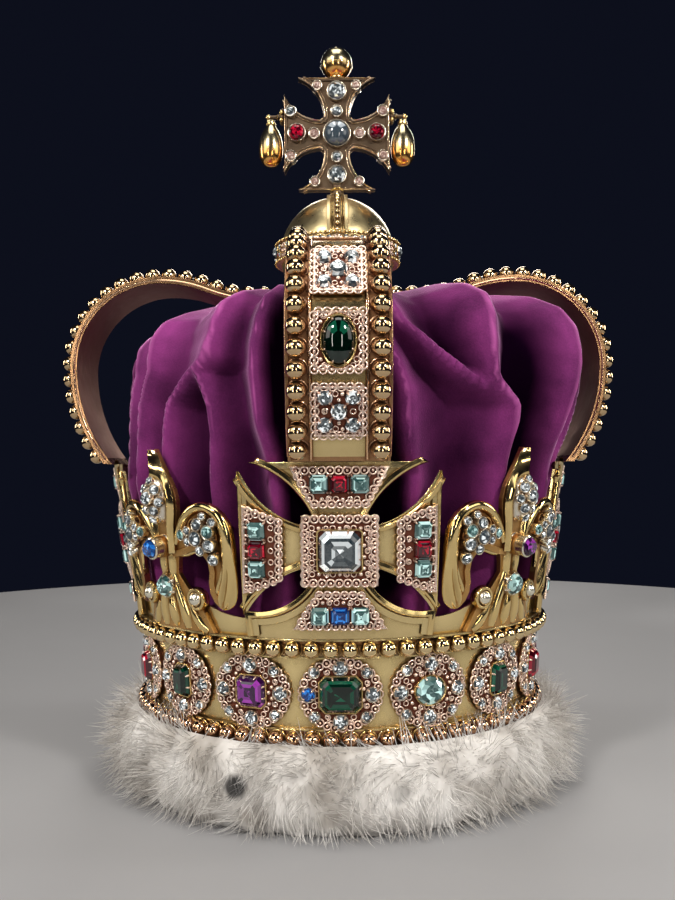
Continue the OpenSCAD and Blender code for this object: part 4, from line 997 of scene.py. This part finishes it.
petals = Smithy()
for quarter in range(4):
    for side in (-1, 1):
        spot = lily(quarter, side)
        petal(petals, spot, SIDE_PETAL, 56, columns=25, flutes=3)
        for rows in (INNER_EDGE, STEM, OUTER_ROOT):
            petal(petals, spot, rows, 20)
        curl = [(2.9, -1.2), (4.6, -1.2), (5.0, 0.2), (4.4, 1.5), (3.4, 1.6), (2.7, 0.4)]
        petals.lathe(spot(SCROLL_X, SCROLL_Z, CUT_METAL - 0.4), curl, 24)
    petal(petals, spot, LEAF_ROOT, 14)
petals.made("lily_petals", polished, sharp=50)


# %% Middle leaves
def leaf_rise(s, z):
    """Height of the middle leaf: a hollow with broad rims below, one sharp ridge above."""
    ridge = 3.6 * (1 - abs(s)) + 0.3
    cup = 2.9 * exp(-((abs(s) - 0.74) / 0.24) ** 2) - 0.2 * (1 - abs(s))
    t = clamp((z - 21) / 8)
    return cup + (ridge - cup) * t * t * (3 - 2 * t) - 0.56 * max(0.0, (z - 26) / 12) ** 2


LEAF_HALF = [(6.4, -3), (6.6, 2), (7.4, 8), (8.8, 14), (9.0, 19.5), (7.6, 25), (5.0, 30.5), (2.8, 35),
             (0.9, 38.6)]
LEAF_COLUMNS, HOLLOW_COLUMNS, HOLLOW_TOP = 25, range(7, 17), 23
leaves, leaf_reflection_slots = Wires(), []
half_line = curve_through(LEAF_HALF, 44)
for spot in map(lily, range(4)):
    for wide, z in half_line:
        for k in range(LEAF_COLUMNS):
            s = k / 12 - 1
            leaves.points.append(spot(s * wide, z, CUT_METAL - 0.6 + leaf_rise(s, z)).translation)
        leaves.points.append(spot(0, z, 0.8).translation)
    leaves.skin(len(half_line), LEAF_COLUMNS + 1)
    # The lower hollow of each middle leaf gets the amber gold: a painted reflection and shade
    leaf_reflection_slots += [int(k in HOLLOW_COLUMNS and z < HOLLOW_TOP)
                   for _, z in half_line[:-1] for k in range(LEAF_COLUMNS + 1)] + [0, 0]
leaves = leaves.made("lily_leaves", [polished, amber_reflection_and_shade], sharp=60)
leaves.data.polygons.foreach_set("material_index", leaf_reflection_slots)

# %% Stones of the lilies
# Places and widths of the stones in a lily's upper hollow, and in the heap beside it
GRAPES = [(-0.1, 8.0, 3.4), (-3.0, 4.8, 4.4), (3.2, 4.6, 4.2), (0.1, 1.6, 5.2), (-4.6, 0.2, 3.4),
          (4.7, -0.4, 3.8), (-2.6, -3.4, 4.2), (2.4, -3.6, 4.0), (0, -7.2, 3.8)]
BUNCH = [(-9.4, 1.6, 4.0), (-5.4, 3.4, 3.2), (-0.4, 6.0, 4.4), (4.4, 3.2, 4.8), (-1.2, 0.8, 5.6),
         (4.6, -1.8, 4.6), (-5.6, -0.6, 3.0), (0.4, -3.9, 3.6), (5.2, -7.4, 4.2), (1.8, 9.0, 2.6),
         (6.2, 6.8, 3.0)]
BLUE_IN_BUNCH = (0, 3)
DRUM = [(4.6, -1.5), (4.6, 0.4), (4.1, 0.9), (4.1, 5.6), (4.5, 6.0), (4.5, 6.9), (3.9, 7.3), (3.4, 6.6)]
DRUM_STONES = ("amethyst", "ruby", "emerald", "sapphire")
DRUM_D, LOW_D = 7.2, 8.6


def on_dome(place, x, y, a, b, h, up=0.0):
    """Frame on a low dome a across, b high and h deep, square to its surface."""
    rise = h * max(0.0, 1 - (x / a) ** 2 - (y / b) ** 2)
    slope = Vector((2 * h * x / a ** 2, 2 * h * y / b ** 2, 1)).normalized()
    return place @ moved(x, y, rise) @ slope.to_track_quat("Z", "Y").to_matrix().to_4x4() @ moved(0, 0, up)


heaps, pearls = Smithy(), Smithy()
lily_stones = []
for quarter, spot in enumerate(map(lily, range(4))):
    middle = spot(0, 18.5, CUT_METAL + 0.6)
    heaps.lathe(middle, [(6.4 * cos(0.3 * k), 5.2 * sin(0.3 * k) - 1.2) for k in range(6)], 20, 1.6)
    for x, y, d in GRAPES:
        seat = on_dome(middle, x, y, 7.2, 11.0, 5.2)
        heaps.collet(seat, d, wall=0.35, height=0.8, foot=-1.5, sides=12)
        lily_stones.append((seat, "brilliant", d, d, 0.42 * d, "crystal"))
    for side in (-1, 1):
        bunch = spot(side * 22.5, 3.6, CUT_METAL - 0.2)
        for k, (x, y, d) in enumerate(BUNCH):
            seat = on_dome(bunch, side * x, y, 13.0, 13.0, 3.0, 0.6)
            heaps.collet(seat, d, wall=0.45, height=0.9, foot=-2.4, sides=12)
            tint = "aquamarine" if k in BLUE_IN_BUNCH else "crystal"
            lily_stones.append((seat, "brilliant" if d < 5.5 else "cabochon", d, d, 0.42 * d, tint))
        pearls.ball(spot(side * SCROLL_X, SCROLL_Z, CUT_METAL + 0.4), 3.0, 16)
    heaps.lathe(spot(0, 0, CUT_METAL), DRUM, 24)
    seat = spot(0, 0, CUT_METAL) @ moved(0, 0, 6.6)
    lily_stones.append((seat, "brilliant", DRUM_D, DRUM_D, 3.0, DRUM_STONES[quarter]))
    low = spot(0, -16.4, CUT_METAL + 1.2)
    heaps.collet(low, LOW_D, wall=0.6, height=1.2, foot=-2.0, sides=20)
    for k in range(6):
        claw = low @ spun(pi * (k + 0.5) / 3) @ moved(4.4, 0, 0.9) @ spun(radians(-24), "Y")
        heaps.lathe(claw, [(0.5, -1.2), (0.5, 0.9), (0.32, 1.3), (0.05, 1.45)], 8)
    lily_stones.append((low @ moved(0, 0, 0.4), "brilliant", LOW_D, LOW_D, 3.4, "aquamarine"))
heaps.made("lily_settings", silvered)
jewels("lily_stones", lily_stones, ["fleur_stones"])
pearls.made("scroll_pearls", pearl)

# %% [markdown]
# ## The orb and its cross
# The orb is a satin ball between two jewelled bands. Its cross has a field of dull gold inside thin double
# rims, with every stone in a thick collet. Beads run over the orb between two rails, and Geometry Nodes
# plant them like the cups under the large beads.

# %% Orb
ORB_Z, ORB_R, EQUATOR_R = 241.22, 27.5, 28.9
BEAD_PITCH, BEAD_SEAT, RAIL_SEAT = 6.6, ORB_R + 1.7, ORB_R + 1.95
JEWEL_D, CHIP_ROUND_D = 5.4, 2.6


def on_orb(turn, out):
    """Frame on the orb's equator, Z outwards."""
    return spun(turn) @ moved(0, -EQUATOR_R - out, ORB_Z) @ spun(pi / 2, "X")


meridian = [side * radians(k * BEAD_PITCH) for k in range(2, 13) for side in (-1, 1)]
orb_beads = [moved(0, -BEAD_SEAT * sin(t), ORB_Z + BEAD_SEAT * cos(t)) @ spun(t, "X") for t in meridian]
plant("orb_meridian_beads", "grain", [(bead, 1.0) for bead in orb_beads], bead_gold, loop=1.3)
orb_work = Smithy()
for side in (-1, 1):
    for x in (1.95, 2.9):
        r = sqrt(RAIL_SEAT ** 2 - x ** 2)
        arc = [(r * sin(t), r * cos(t)) for t in np.linspace(-1.45, 1.45, 60)]
        rail = [(side * x, y, ORB_Z + z) for y, z in arc]
        orb_work.sweep(rail, [(0, y, z) for y, z in arc], oval(0.36, 0.36, 8))
orb_jewels, loops, scrolls, grains = [], [], [], []
for i in range(12):
    t = (i + 0.5) * pi / 6
    face = on_orb(t, 0.6)
    orb_work.collet(face, JEWEL_D, wall=0.7, height=1.0, foot=-1.4)
    orb_jewels.append((face, "brilliant", JEWEL_D, JEWEL_D, 2.2, "crystal"))
    for x, y in ((-3.7, 1.9), (-3.7, -1.9), (3.7, 1.9), (3.7, -1.9)):
        small = face @ moved(x, y, -0.3 - abs(x) * 0.12)
        orb_work.collet(small, CHIP_ROUND_D, wall=0.35, height=0.7, foot=-1.2, sides=10)
        orb_jewels.append((small, "brilliant", CHIP_ROUND_D, CHIP_ROUND_D, 1.2, "crystal"))
    for k in range(7):
        bead = spun(t + (k - 3) * pi / 42) @ moved(0, -EQUATOR_R - 0.9, ORB_Z)
        grains += [(bead @ moved(0, 0, up), 1.0) for up in (-4.4, 4.4)]
    for k in range(-1, 2):
        edge = on_orb(t + pi / 12 + k * 0.045, 0.1)
        kind = loops if (k + i) % 2 else scrolls
        kind += [(edge @ moved(0, up, 0.2), 0.95) for up in (-2.3, 0, 2.3)]
plant("orb_band_grains", "grain", grains, polished, loop=0.75)
plant("orb_band_loops", "loop", loops, rose)
plant("orb_band_scrolls", "scroll", scrolls, rose)
orb_work.made("orb_rails", polished)
jewels("orb_jewels", orb_jewels, ["orb_stones"])

# %% Cross of the orb
ORB_CROSS_Z, ORB_REACH, ORB_HEAD, ORB_FACE = 300.32, 25.5, 27.3, 2.5
ORB_CROSS_STONES = [
    (0, 0, 12.4, "moonstone"), (0, 10.9, 4.8, "crystal"), (0, 20.7, 8.4, "crystal"),
    (0, -11.5, 4.4, "crystal"), (0, -20.2, 8.2, "crystal"),
    (11, 0, 4.4, "blush"), (-11, 0, 4.4, "blush"), (19.4, 0.5, 7.6, "ruby"),
    (-19.4, 0.5, 7.6, "ruby"), (22.4, 10.9, 4.4, "blush"), (-22.4, 10.9, 4.4, "crystal"),
    (22.4, -10.9, 4.4, "blush"), (-22.4, -10.9, 4.4, "blush"), (9.4, 23.5, 3.8, "blush"),
    (-9.4, 23.5, 3.8, "blush"), (10.7, -23.5, 3.8, "blush"), (-10.7, -23.5, 3.8, "blush")]
OUTER_RIM = [(-0.05, -0.6), (-0.05, 0.3), (0.3, 0.65), (0.75, 0.3), (0.75, -0.6)]
INNER_RIM = [(1.45, -0.8), (1.45, -0.2), (1.7, 0.05), (1.95, -0.2), (1.95, -0.8)]
up_arm = arm((0.25, 0.25), (0.73, 1), 0.76, True, ORB_REACH, ORB_HEAD, 0)
side_arm = arm((0.25, 0.25), (1, 0.7), 0.78, False, ORB_REACH, ORB_HEAD, 0)
quarter_line = [p for p in side_arm[::-1] if max(p) > 7.6] + [p for p in up_arm if p.y > 8.2 or p.x > 7.6]
CROSS_LOOP = []
for x, y in ((1, 1), (-1, 1), (-1, -1), (1, -1)):
    CROSS_LOOP += flipped(quarter_line, x, y)[::x * y]
orb_rims, orb_collets = Smithy(), Smithy()
orb_stones = []
for back in (0, 1):
    spot = flat_plate(spun(pi * back) @ moved(0, -ORB_FACE, ORB_CROSS_Z) @ spun(pi / 2, "X"))
    for rim in (OUTER_RIM, INNER_RIM):
        orb_rims.moulding(spot, CROSS_LOOP, rim)
    for x, y, d, colour in ORB_CROSS_STONES:
        orb_collets.collet(spot(x, y), d, wall=0.8, height=1.3, foot=-1.0, sides=20)
        if back:
            orb_rims.lathe(spot(x, y), [(d / 2, -0.5), (d / 2 - 0.2, 0.5), (d / 4, 0.9), (0.05, 1.0)], 16)
        else:
            cut = "cabochon" if d > 12 else "brilliant"
            orb_stones.append((spot(x, y, 0.1), cut, d, d, 0.36 * d, colour))
orb_rims.made("orb_cross_rims", olive_rim, sharp=50)
orb_collets.made("orb_cross_collets", silvered)
jewels("orb_cross_jewels", orb_stones, ["orb_cross_stones"])

# %% Ball, rods and drops
BALL_Z, BALL_R, ROD_Z, DROP_X = 335.4, 7.65, 309.33, 32.15
DROP_R, DROP_L, DROP_FOOT = 5.8, 21.0, 284.9
DROP_OUTLINE = [(0.0, 0.0), (0.42, 0.02), (0.74, 0.10), (0.94, 0.22), (1.0, 0.36), (0.98, 0.52),
                (0.88, 0.68), (0.68, 0.82), (0.44, 0.92), (0.33, 1.0), (0.33, 1.08)]
TURNED = (  # height, profile of radius and height, sides
    (BALL_Z - 1.6, [(7.2, -0.4), (7.75, -0.35), (7.9, 0), (7.75, 0.35), (7.2, 0.4)], 36),
    (327.9, [(2.4, -0.2), (3.4, 0.2), (3.4, 0.9), (2.6, 1.3), (0.1, 1.5)], 20),
    (BALL_Z + BALL_R, [(1.3, -0.3), (0.9, 0.1), (0.5, 0.4), (0.3, 0.8)], 12),
    (273.3, [(2.6, -1.0), (3.6, -0.6), (3.9, 0.2), (3.2, 1.0), (2.4, 1.3)], 20))


def gold_with_painted_reflection(name, low, high):
    """Satin gold with a painted reflection between two heights: warm orange below, as of a warm floor, and
    olive gold above, as of a dim room.
    """
    metal = Finish(name, Metallic=1.0, Roughness=0.2)
    height = metal.node("ShaderNodeSeparateXYZ", {}, {"Vector": metal.place()}, "Z")
    share = (height + metal.noise(330, 3) * 0.007 - 0.0035).between(low * MM, high * MM)
    # Painted reflection: orange below the given heights, olive gold above them
    metal.put_on("Base Color", metal.mix(share, (0.90, 0.47, 0.13), (0.56, 0.49, 0.30)))
    return metal.material


drop_reflection_gold = gold_with_painted_reflection("drop gold", 291, 297)
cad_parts["orb_ball"].data.materials[0] = gold_with_painted_reflection("ball gold", 331, 336)
ball_work = Smithy()
for z, profile, sides in TURNED:
    ball_work.lathe(moved(0, 0, z), profile, sides)
for side in (-1, 1):
    for r, z, tall in ((2.5, 305.9, 0.8), (2.2, 304.2, 0.5)):
        knob = [(r - 0.5, -tall), (r, -tall * 0.5), (r, tall * 0.5), (r - 0.5, tall)]
        ball_work.lathe(moved(side * DROP_X, 0, z), knob, 20)
    on_rod = moved(side * (DROP_X - 3.2), 0, ROD_Z) @ spun(pi / 2, "Y")
    ball_work.lathe(on_rod, [(1.2, -0.3), (1.5, 0), (1.2, 0.3)], 14)
    ball_work.ball(moved(side * (DROP_X + 1.2), 0, ROD_Z), 1.35)
    for y in (-1.5, 1.5):
        for z in (-1.9, 1.9):
            ball_work.ball(moved(side * 27.0, y, ROD_Z + z), 1.1, 10)
ball_work.made("ball_and_rod_work", polished, sharp=50)
drop_line = curve_through([(r * DROP_R, z * DROP_L) for r, z in DROP_OUTLINE], 30)
drop_line = [(max(r, 0.02), z) for r, z in drop_line]
for side, name in ((-1, "left"), (1, "right")):
    drop = Smithy()
    drop.lathe(moved(side * DROP_X, 0, DROP_FOOT), drop_line, 32)
    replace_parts(drop.made(f"egg_drop_{name}", drop_reflection_gold), f"pear_drop_{name}")


# %% Lining, channels and edges of the arches
def arch_strip(name, up, half, columns, material):
    """An open sheet that follows all four half arches, half as wide as given to each side."""
    points, faces = [], []
    for quarter in range(4):
        faces += grid_faces(90, columns, first=len(points))
        for along in np.linspace(1.0, 176.0, 90):
            spot = on_arch(along, 0, up, quarter)
            points += [(spot @ moved(x)).translation for x in np.linspace(-half, half, columns)]
    piece(name, points, faces, material)


arch_strip("arch_lining", -3.66, 18.5, 9, worn_rose)
arch_strip("arch_channels", -1.5, -9.4, 5, matte)
edges = Smithy()
for quarter in range(4):
    for side in (-1, 1):
        for across, up in ((18.75, -2.3), (10.2, -0.42)):
            line = [on_arch(along, side * across, up, quarter) for along in np.linspace(0.8, 176.0, 100)]
            edges.sweep([f.translation for f in line], [f.col[2].to_3d() for f in line], oval(0.5, 0.5, 6))
edges.made("arch_edges", copper_edge)

# %% [markdown]
# ## The velvet cap
# The cap is one piece of velvet, gathered into the band and pushed up between the arches. Its folds are
# sharp ridges with hollows between them. Each ridge is a track, a turn round the crown for each height,
# and the cloth sinks in between two tracks, the deeper the further they stand apart.

# %% Shape of the velvet
CAP_PROFILE = [  # radius, height, share of the folds, how much the left shoulder sinks
    (88.0, 66.0, 0.0, 0), (88.6, 72, 0.15, 0), (90.6, 82, 0.4, 0), (93.2, 100, 0.75, 0), (96.4, 120, 0.9, 0),
    (100.2, 136, 1.0, 0), (104.5, 150, 1.0, 0), (108.5, 163, 1.0, 0), (111.5, 175, 1.0, 0.1),
    (112.5, 186, 0.95, 0.3), (111.0, 196, 0.9, 0.6), (106.0, 204, 0.75, 0.9), (94.0, 209.5, 0.55, 1.0),
    (76.0, 212.5, 0.35, 0.7), (55.0, 213.3, 0.2, 0.3), (32.0, 212, 0.08, 0), (12.0, 210.5, 0, 0),
    (0.6, 210.3, 0, 0)]
RIDGES = [  # height and turn from the front to the right, in degrees, over and over
    (66, -118, 150, -114, 213, -112), (66, -97, 150, -100, 213, -104),
    (66, -88, 145, -87, 170, -89, 213, -92), (66, -77, 141, -76, 161, -74, 180, -71, 213, -70),
    (66, -62, 133, -62, 149, -61, 166, -59, 180, -53, 213, -50),
    (66, -46, 133, -45.4, 146, -45.5, 156, -44, 165, -41.5, 175, -34, 181, -29, 192, -26, 213, -24.8),
    (66, -31, 133, -30.1, 152, -28.2, 162, -28.3, 169, -29.6, 176, -31, 181, -27.5, 213, -24.4),
    (66, -12, 142, -14.7, 155, -16.6, 173, -16.9, 184, -16.5, 213, -14),
    (66, 19, 133, 16.7, 142, 15.3, 157, 13.6, 168, 12.8, 178, 10.9, 190, 7, 213, 4),
    (66, 44, 120, 42, 145, 40.7, 154, 40.8, 163, 39.7, 168, 35, 173, 27, 183, 18.5, 193, 11.2, 213, 6),
    (66, 44.4, 120, 42.4, 145, 41, 154, 41, 163, 40, 168, 36, 173, 32.2, 183, 31.2, 192, 31.3, 213, 33),
    (66, 71, 133, 68.9, 151, 62.2, 168, 61.3, 185, 62.6, 213, 64),
    (66, 82, 142, 77, 157, 82, 172, 85, 213, 86),
    (66, 101, 150, 99, 213, 103), (66, 120, 150, 124, 180, 118, 213, 121), (66, 139, 150, 136, 213, 143),
    (66, 156, 150, 160, 175, 153, 213, 158), (66, 176, 150, 172, 213, 178),
    (66, 196, 150, 199, 180, 190, 213, 196), (66, 214, 150, 211, 213, 217), (66, 231, 150, 235, 213, 230)]
DEPTHS = [11, 10, 12, 9, 12, 16, 15, 26, 15, 20, 22, 12, 13, 14, 13, 15, 12, 14, 13, 12, 13]
FIRST_TURN = -122.0


def cap_surface(turns, shares):
    """Points of the velvet at turns round the crown, in degrees, and shares of the way to its middle, and
    the painted shade of each point.
    """
    profile = np.array(CAP_PROFILE)
    steps = np.linspace(0, 1, len(profile))
    radius, height, folds, sink = (np.interp(shares, steps, column)[:, None] for column in profile.T)
    turn = np.mod(turns[None, :] - FIRST_TURN, 360.0) + FIRST_TURN + 0 * radius
    tracks = [np.interp(height, ridge[::2], ridge[1::2]) for ridge in RIDGES]
    # depth shapes the cloth; painted_fold_shade is painted shade in the folds, broader in the deepest ones
    depth, painted_fold_shade = np.zeros_like(turn), np.zeros_like(turn)
    here = np.where(turn < tracks[0], turn + 360, turn)
    for low, high, full in zip(tracks, tracks[1:] + [tracks[0] + 360], DEPTHS):
        u = np.clip((here - low) / np.maximum(high - low, 0.01), 0, 1)
        between, off_middle, room = (u > 0) & (u < 1), np.abs(2 * u - 1), high - low
        hollow = lambda power, full_room: (1 - off_middle ** power) * full * np.clip(room / full_room, 0, 1)
        depth = np.where(between, hollow(1.5, 13), depth)
        painted_fold_shade = np.where(between, hollow(9 if full > 25 else 3, 9), painted_fold_shade)
    bell = lambda middle, width: np.exp(-((turn - middle) / width) ** 2)
    left, right = bell(-50, 32), bell(62, 34)
    slump = 16 * bell(-72, 38) * np.clip((height - 132) / 50, 0, 1) * np.clip(radius / 90, 0, 1)
    bulge = np.sin(pi * np.clip((height - 140) / 75, 0, 1)) * 4.5 * right - slump
    r = radius - depth * folds * np.clip(radius / 60, 0, 1) + bulge
    fallen = 3 * left + 8 * bell(-90, 36)
    z = height - sink * fallen + 2.5 * sink * right - 0.25 * depth * np.clip(sink, 0, 1)
    # Painted shade: dark in the folds, and darker towards the bottom of the cap
    shadow = np.clip(painted_fold_shade * folds / 20 + 0.3 * np.clip((160 - height) / 60, 0, 1), 0, 1)
    angle = np.radians(turn)
    return np.stack([r * np.sin(angle), -r * np.cos(angle), z], axis=2), shadow


cap_points, cap_painted_shade = cap_surface(np.arange(0, 360, 0.8), np.linspace(0, 1, 104))
# Each point moves a little to the middle of its neighbours, which rounds the ridges
round_about = (np.roll(cap_points, 1, axis=1) + np.roll(cap_points, -1, axis=1)) / 2
up_and_down = cap_points.copy()
up_and_down[1:-1] = (cap_points[2:] + cap_points[:-2]) / 2
cap_points = cap_points + 0.25 * (round_about - cap_points) + 0.25 * (up_and_down - cap_points)
rows, columns = cap_points.shape[:2]

# %% [markdown]
# ## The finish of velvet
# Velvet is bright on a crest, where one looks along the pile, and nearly black deep in a fold, where the
# pile swallows the light. Here both are painted. The shape above gives each point a painted shade, stronger
# in deep, wide folds and darker towards the bottom. An attribute carries that to the material, where a
# painted highlight lightens the crests and a second, almost black shader mixes in a painted shade in the
# hollows.

# %% Velvet cap
velvet = Finish("purple velvet", Roughness=0.85, Sheen_Weight=1.0, Sheen_Roughness=0.28,
                Sheen_Tint=(1.0, 0.52, 0.92, 1), Specular_IOR_Level=0.15)
pile = velvet.noise(1400, 3)
brushed = velvet.noise(38, 4).between(0.35, 0.7)
painted_shade_share = velvet.painted("hollow")
cloth = velvet.mix(brushed * 0.5 + pile * 0.3, (0.05, 0.0045, 0.042), (0.33, 0.045, 0.245))
# Painted highlight: the crests, where the painted shade is least, are mixed towards a light pink
painted_crest_highlight = painted_shade_share.between(0.0, 0.14, **{"To Min": 0.5, "To Max": 0.0})
velvet.put_on("Base Color", velvet.mix(painted_crest_highlight, cloth, (0.62, 0.14, 0.45)))
velvet.put_on("Normal", velvet.bump(pile, 0.5, 0.0003))
# Painted shade: an almost black shader is mixed in where the painted shade is deep
unlit = {"Base Color": (0.004, 0.0004, 0.005, 1), "Roughness": 1.0, "Specular IOR Level": 0.0}
painted_shade = velvet.node("ShaderNodeBsdfPrincipled", {}, unlit)
shaders = {0: painted_shade_share.between(0.36, 1.0), 1: Value(velvet, velvet.shader.outputs[0]), 2: painted_shade}
both = velvet.node("ShaderNodeMixShader", {}, shaders)
velvet.put(velvet.tree.nodes["Material Output"].inputs["Surface"], both)
cap_faces = [face[::-1] for face in grid_faces(rows, columns, closed_columns=True)]
cap = piece("velvet_cloth", cap_points.reshape(-1, 3).tolist(), cap_faces, velvet.material)
# The painted shade goes on the cloth as its hollow attribute
numbered(cap, "hollow", "POINT", cap_painted_shade.ravel())
CLOTH = 1.2
thickness = cap.modifiers.new("cloth thickness", "SOLIDIFY")
thickness.thickness = CLOTH * MM
thickness.offset = -1
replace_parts(cap, "velvet_cap")

# %% [markdown]
# ## The fur roll
# Fur is thousands of hairs that part in locks. Geometry Nodes scatter thin blades over a soft roll, and a
# slow noise leans them, so that neighbours bend the same way. The roll itself has shallow locks too.

# %% Fur roll
FUR_SECTION = [(87.4, 0.0), (94.0, 0.0), (99.0, 0.6), (102.0, 4.0), (103.4, 10), (103.6, 17), (102.6, 24),
               (99.8, 30.0), (96.6, 33.0), (94.6, 32.0), (95.0, 29.4), (91.0, 28.6), (87.4, 28.6)]
SPOTS = [((-40, -100, 18), 5.6, 0.97), ((22.5, -103, 17), 4.5, 0.35)]  # place, radius, how dark
THROUGH = (1.0, 0.3, 1.0)  # a spot goes on through the depth of the coat
fur_turns = np.radians(np.arange(0, 360, 1.5))
fur_points = []
for a in fur_turns:
    for k, (r, z) in enumerate(FUR_SECTION):
        lock = 0.9 * cos(37 * a + 0.8 * k + 1.5 * sin(5 * a)) + 0.6 * cos(61 * a - 1.1 * k)
        out = r + (lock if 2 <= k <= 8 else 0)
        fur_points.append((out * sin(a), -out * cos(a), z + (0.4 * lock if 4 < k < 9 else 0)))
white_fur = Finish("white fur", Roughness=0.75, Sheen_Weight=0.4, Sheen_Roughness=0.5)
tone = white_fur.noise(55, 3).between(0.35, 0.7)
coat_colour = white_fur.mix(tone, (0.36, 0.33, 0.30), (0.78, 0.76, 0.74))
for spot, radius, dark in SPOTS:
    flat = white_fur.maths("MULTIPLY", white_fur.place(), THROUGH, kind="VectorMath")
    centre = tuple(MM * v * k for v, k in zip(spot, THROUGH))
    away = white_fur.maths("DISTANCE", flat, centre, kind="VectorMath", out="Value")
    near = 1 - away.between(0.6 * radius * MM, radius * MM)
    coat_colour = white_fur.mix(near * dark, coat_colour, (0.012, 0.010, 0.010))
white_fur.put_on("Base Color", coat_colour)
fur_faces = grid_faces(len(fur_turns), len(FUR_SECTION), closed_rows=True, closed_columns=True)
fur_roll = outward(piece("fur_roll", fur_points, fur_faces, white_fur.material))
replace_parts(fur_roll, "fur_trim")


# %% Hairs of the fur
PRESSED_BELOW, PRESSED_TO = 0.002, 0.0015  # heights in metres


def hair_tree():
    """Blades on the points of a roll, leaned by a noise, so that neighbours part in locks."""
    sockets = {"Roll": "Geometry", "Hairs": "Float", "Length": "Float", "Width": "Float", "Seed": "Int",
               "Fur": "Material"}
    graph, given = new_tree("fur hairs", sockets)
    scatter = {"Mesh": given["Roll"], "Density": given["Hairs"], "Seed": given["Seed"]}
    spread = geometry(graph, "DistributePointsOnFaces", scatter, {"distribute_method": "RANDOM"})
    normal = Value(graph, spread.socket.node.outputs["Normal"])
    where = geometry(graph, "InputPosition", {})
    vectors = lambda operation, *given: graph.maths(operation, *given, kind="VectorMath")

    def stretch(vector, by):
        return graph.node("ShaderNodeVectorMath", {"operation": "SCALE"}, {0: vector, "Scale": by})

    def lean(scale, w):
        given = {"Vector": where, "W": w, "Scale": scale, "Detail": 1.0}
        noise = graph.node("ShaderNodeTexNoise", {"noise_dimensions": "4D"}, given, "Color")
        return vectors("SUBTRACT", noise, (0.5, 0.5, 0.5))

    locks = vectors("ADD", stretch(normal, 0.75), stretch(lean(46.0, 1.3), 2.6))
    way = vectors("ADD", locks, vectors("ADD", stretch(lean(260.0, 7.7), 1.6), (0.0, 0.0, -0.3)))
    turn = graph.node("FunctionNodeAlignRotationToVector", {"axis": "Z"}, {"Vector": way})
    blade = {"Vertices": 3, "Side Segments": 2, "Radius Top": given["Width"] * 0.12,
             "Radius Bottom": given["Width"], "Depth": given["Length"]}
    cone = geometry(graph, "MeshCone", blade, {"fill_type": "NONE"}, "Mesh")
    size = graph.node("FunctionNodeRandomValue", {"data_type": "FLOAT"}, {2: 0.55, 3: 1.25, "Seed": 5})
    hairs = {"Points": spread, "Instance": cone, "Rotation": turn, "Scale": size}
    coat = geometry(graph, "InstanceOnPoints", hairs)
    coat = geometry(graph, "RealizeInstances", {"Geometry": coat})
    # Hairs that would reach into the floor lie down on it, and the others stay as they are
    here = geometry(graph, "InputPosition", {})
    x, y, z = (graph.node("ShaderNodeSeparateXYZ", {}, {"Vector": here}, axis) for axis in "XYZ")
    lying = graph.maths("EXPONENT", graph.maths("MINIMUM", z - PRESSED_BELOW, 0.0) * 120) * PRESSED_TO
    raised = graph.node("ShaderNodeCombineXYZ", {}, {"X": x, "Y": y, "Z": graph.maths("MAXIMUM", z, lying)})
    coat = geometry(graph, "SetPosition", {"Geometry": coat, "Position": raised})
    return finish_tree(graph, coat, given["Fur"])


HAIRS = hair_tree()
for name, hairs, length, width, seed in (  # hairs on a square decimetre in thousands, sizes in millimetres
        ("fur_undercoat", 2.1, 9.5, 0.22, 3), ("fur_long_hairs", 0.8, 12.5, 0.17, 11)):
    values = {"Hairs": hairs * 1e5, "Length": length * MM, "Width": width * MM, "Seed": seed}
    grow(name, fur_roll, HAIRS, {**values, "Fur": white_fur.material})

# %% [markdown]
# ## The surface under the crown
# A plain pale disc carries the crown.

# %% Floor
bpy.ops.mesh.primitive_cylinder_add(vertices=128, radius=0.62, depth=0.02, location=(0, 0.1, -0.01))
floor = bpy.context.object
floor.name = "pale_floor"
paper = Finish("pale floor", Roughness=0.6)
paper.put_on("Base Color", paper.mix(paper.noise(30) * 0.3, (0.29, 0.29, 0.30), (0.26, 0.26, 0.27)))
floor.data.materials.append(paper.material)
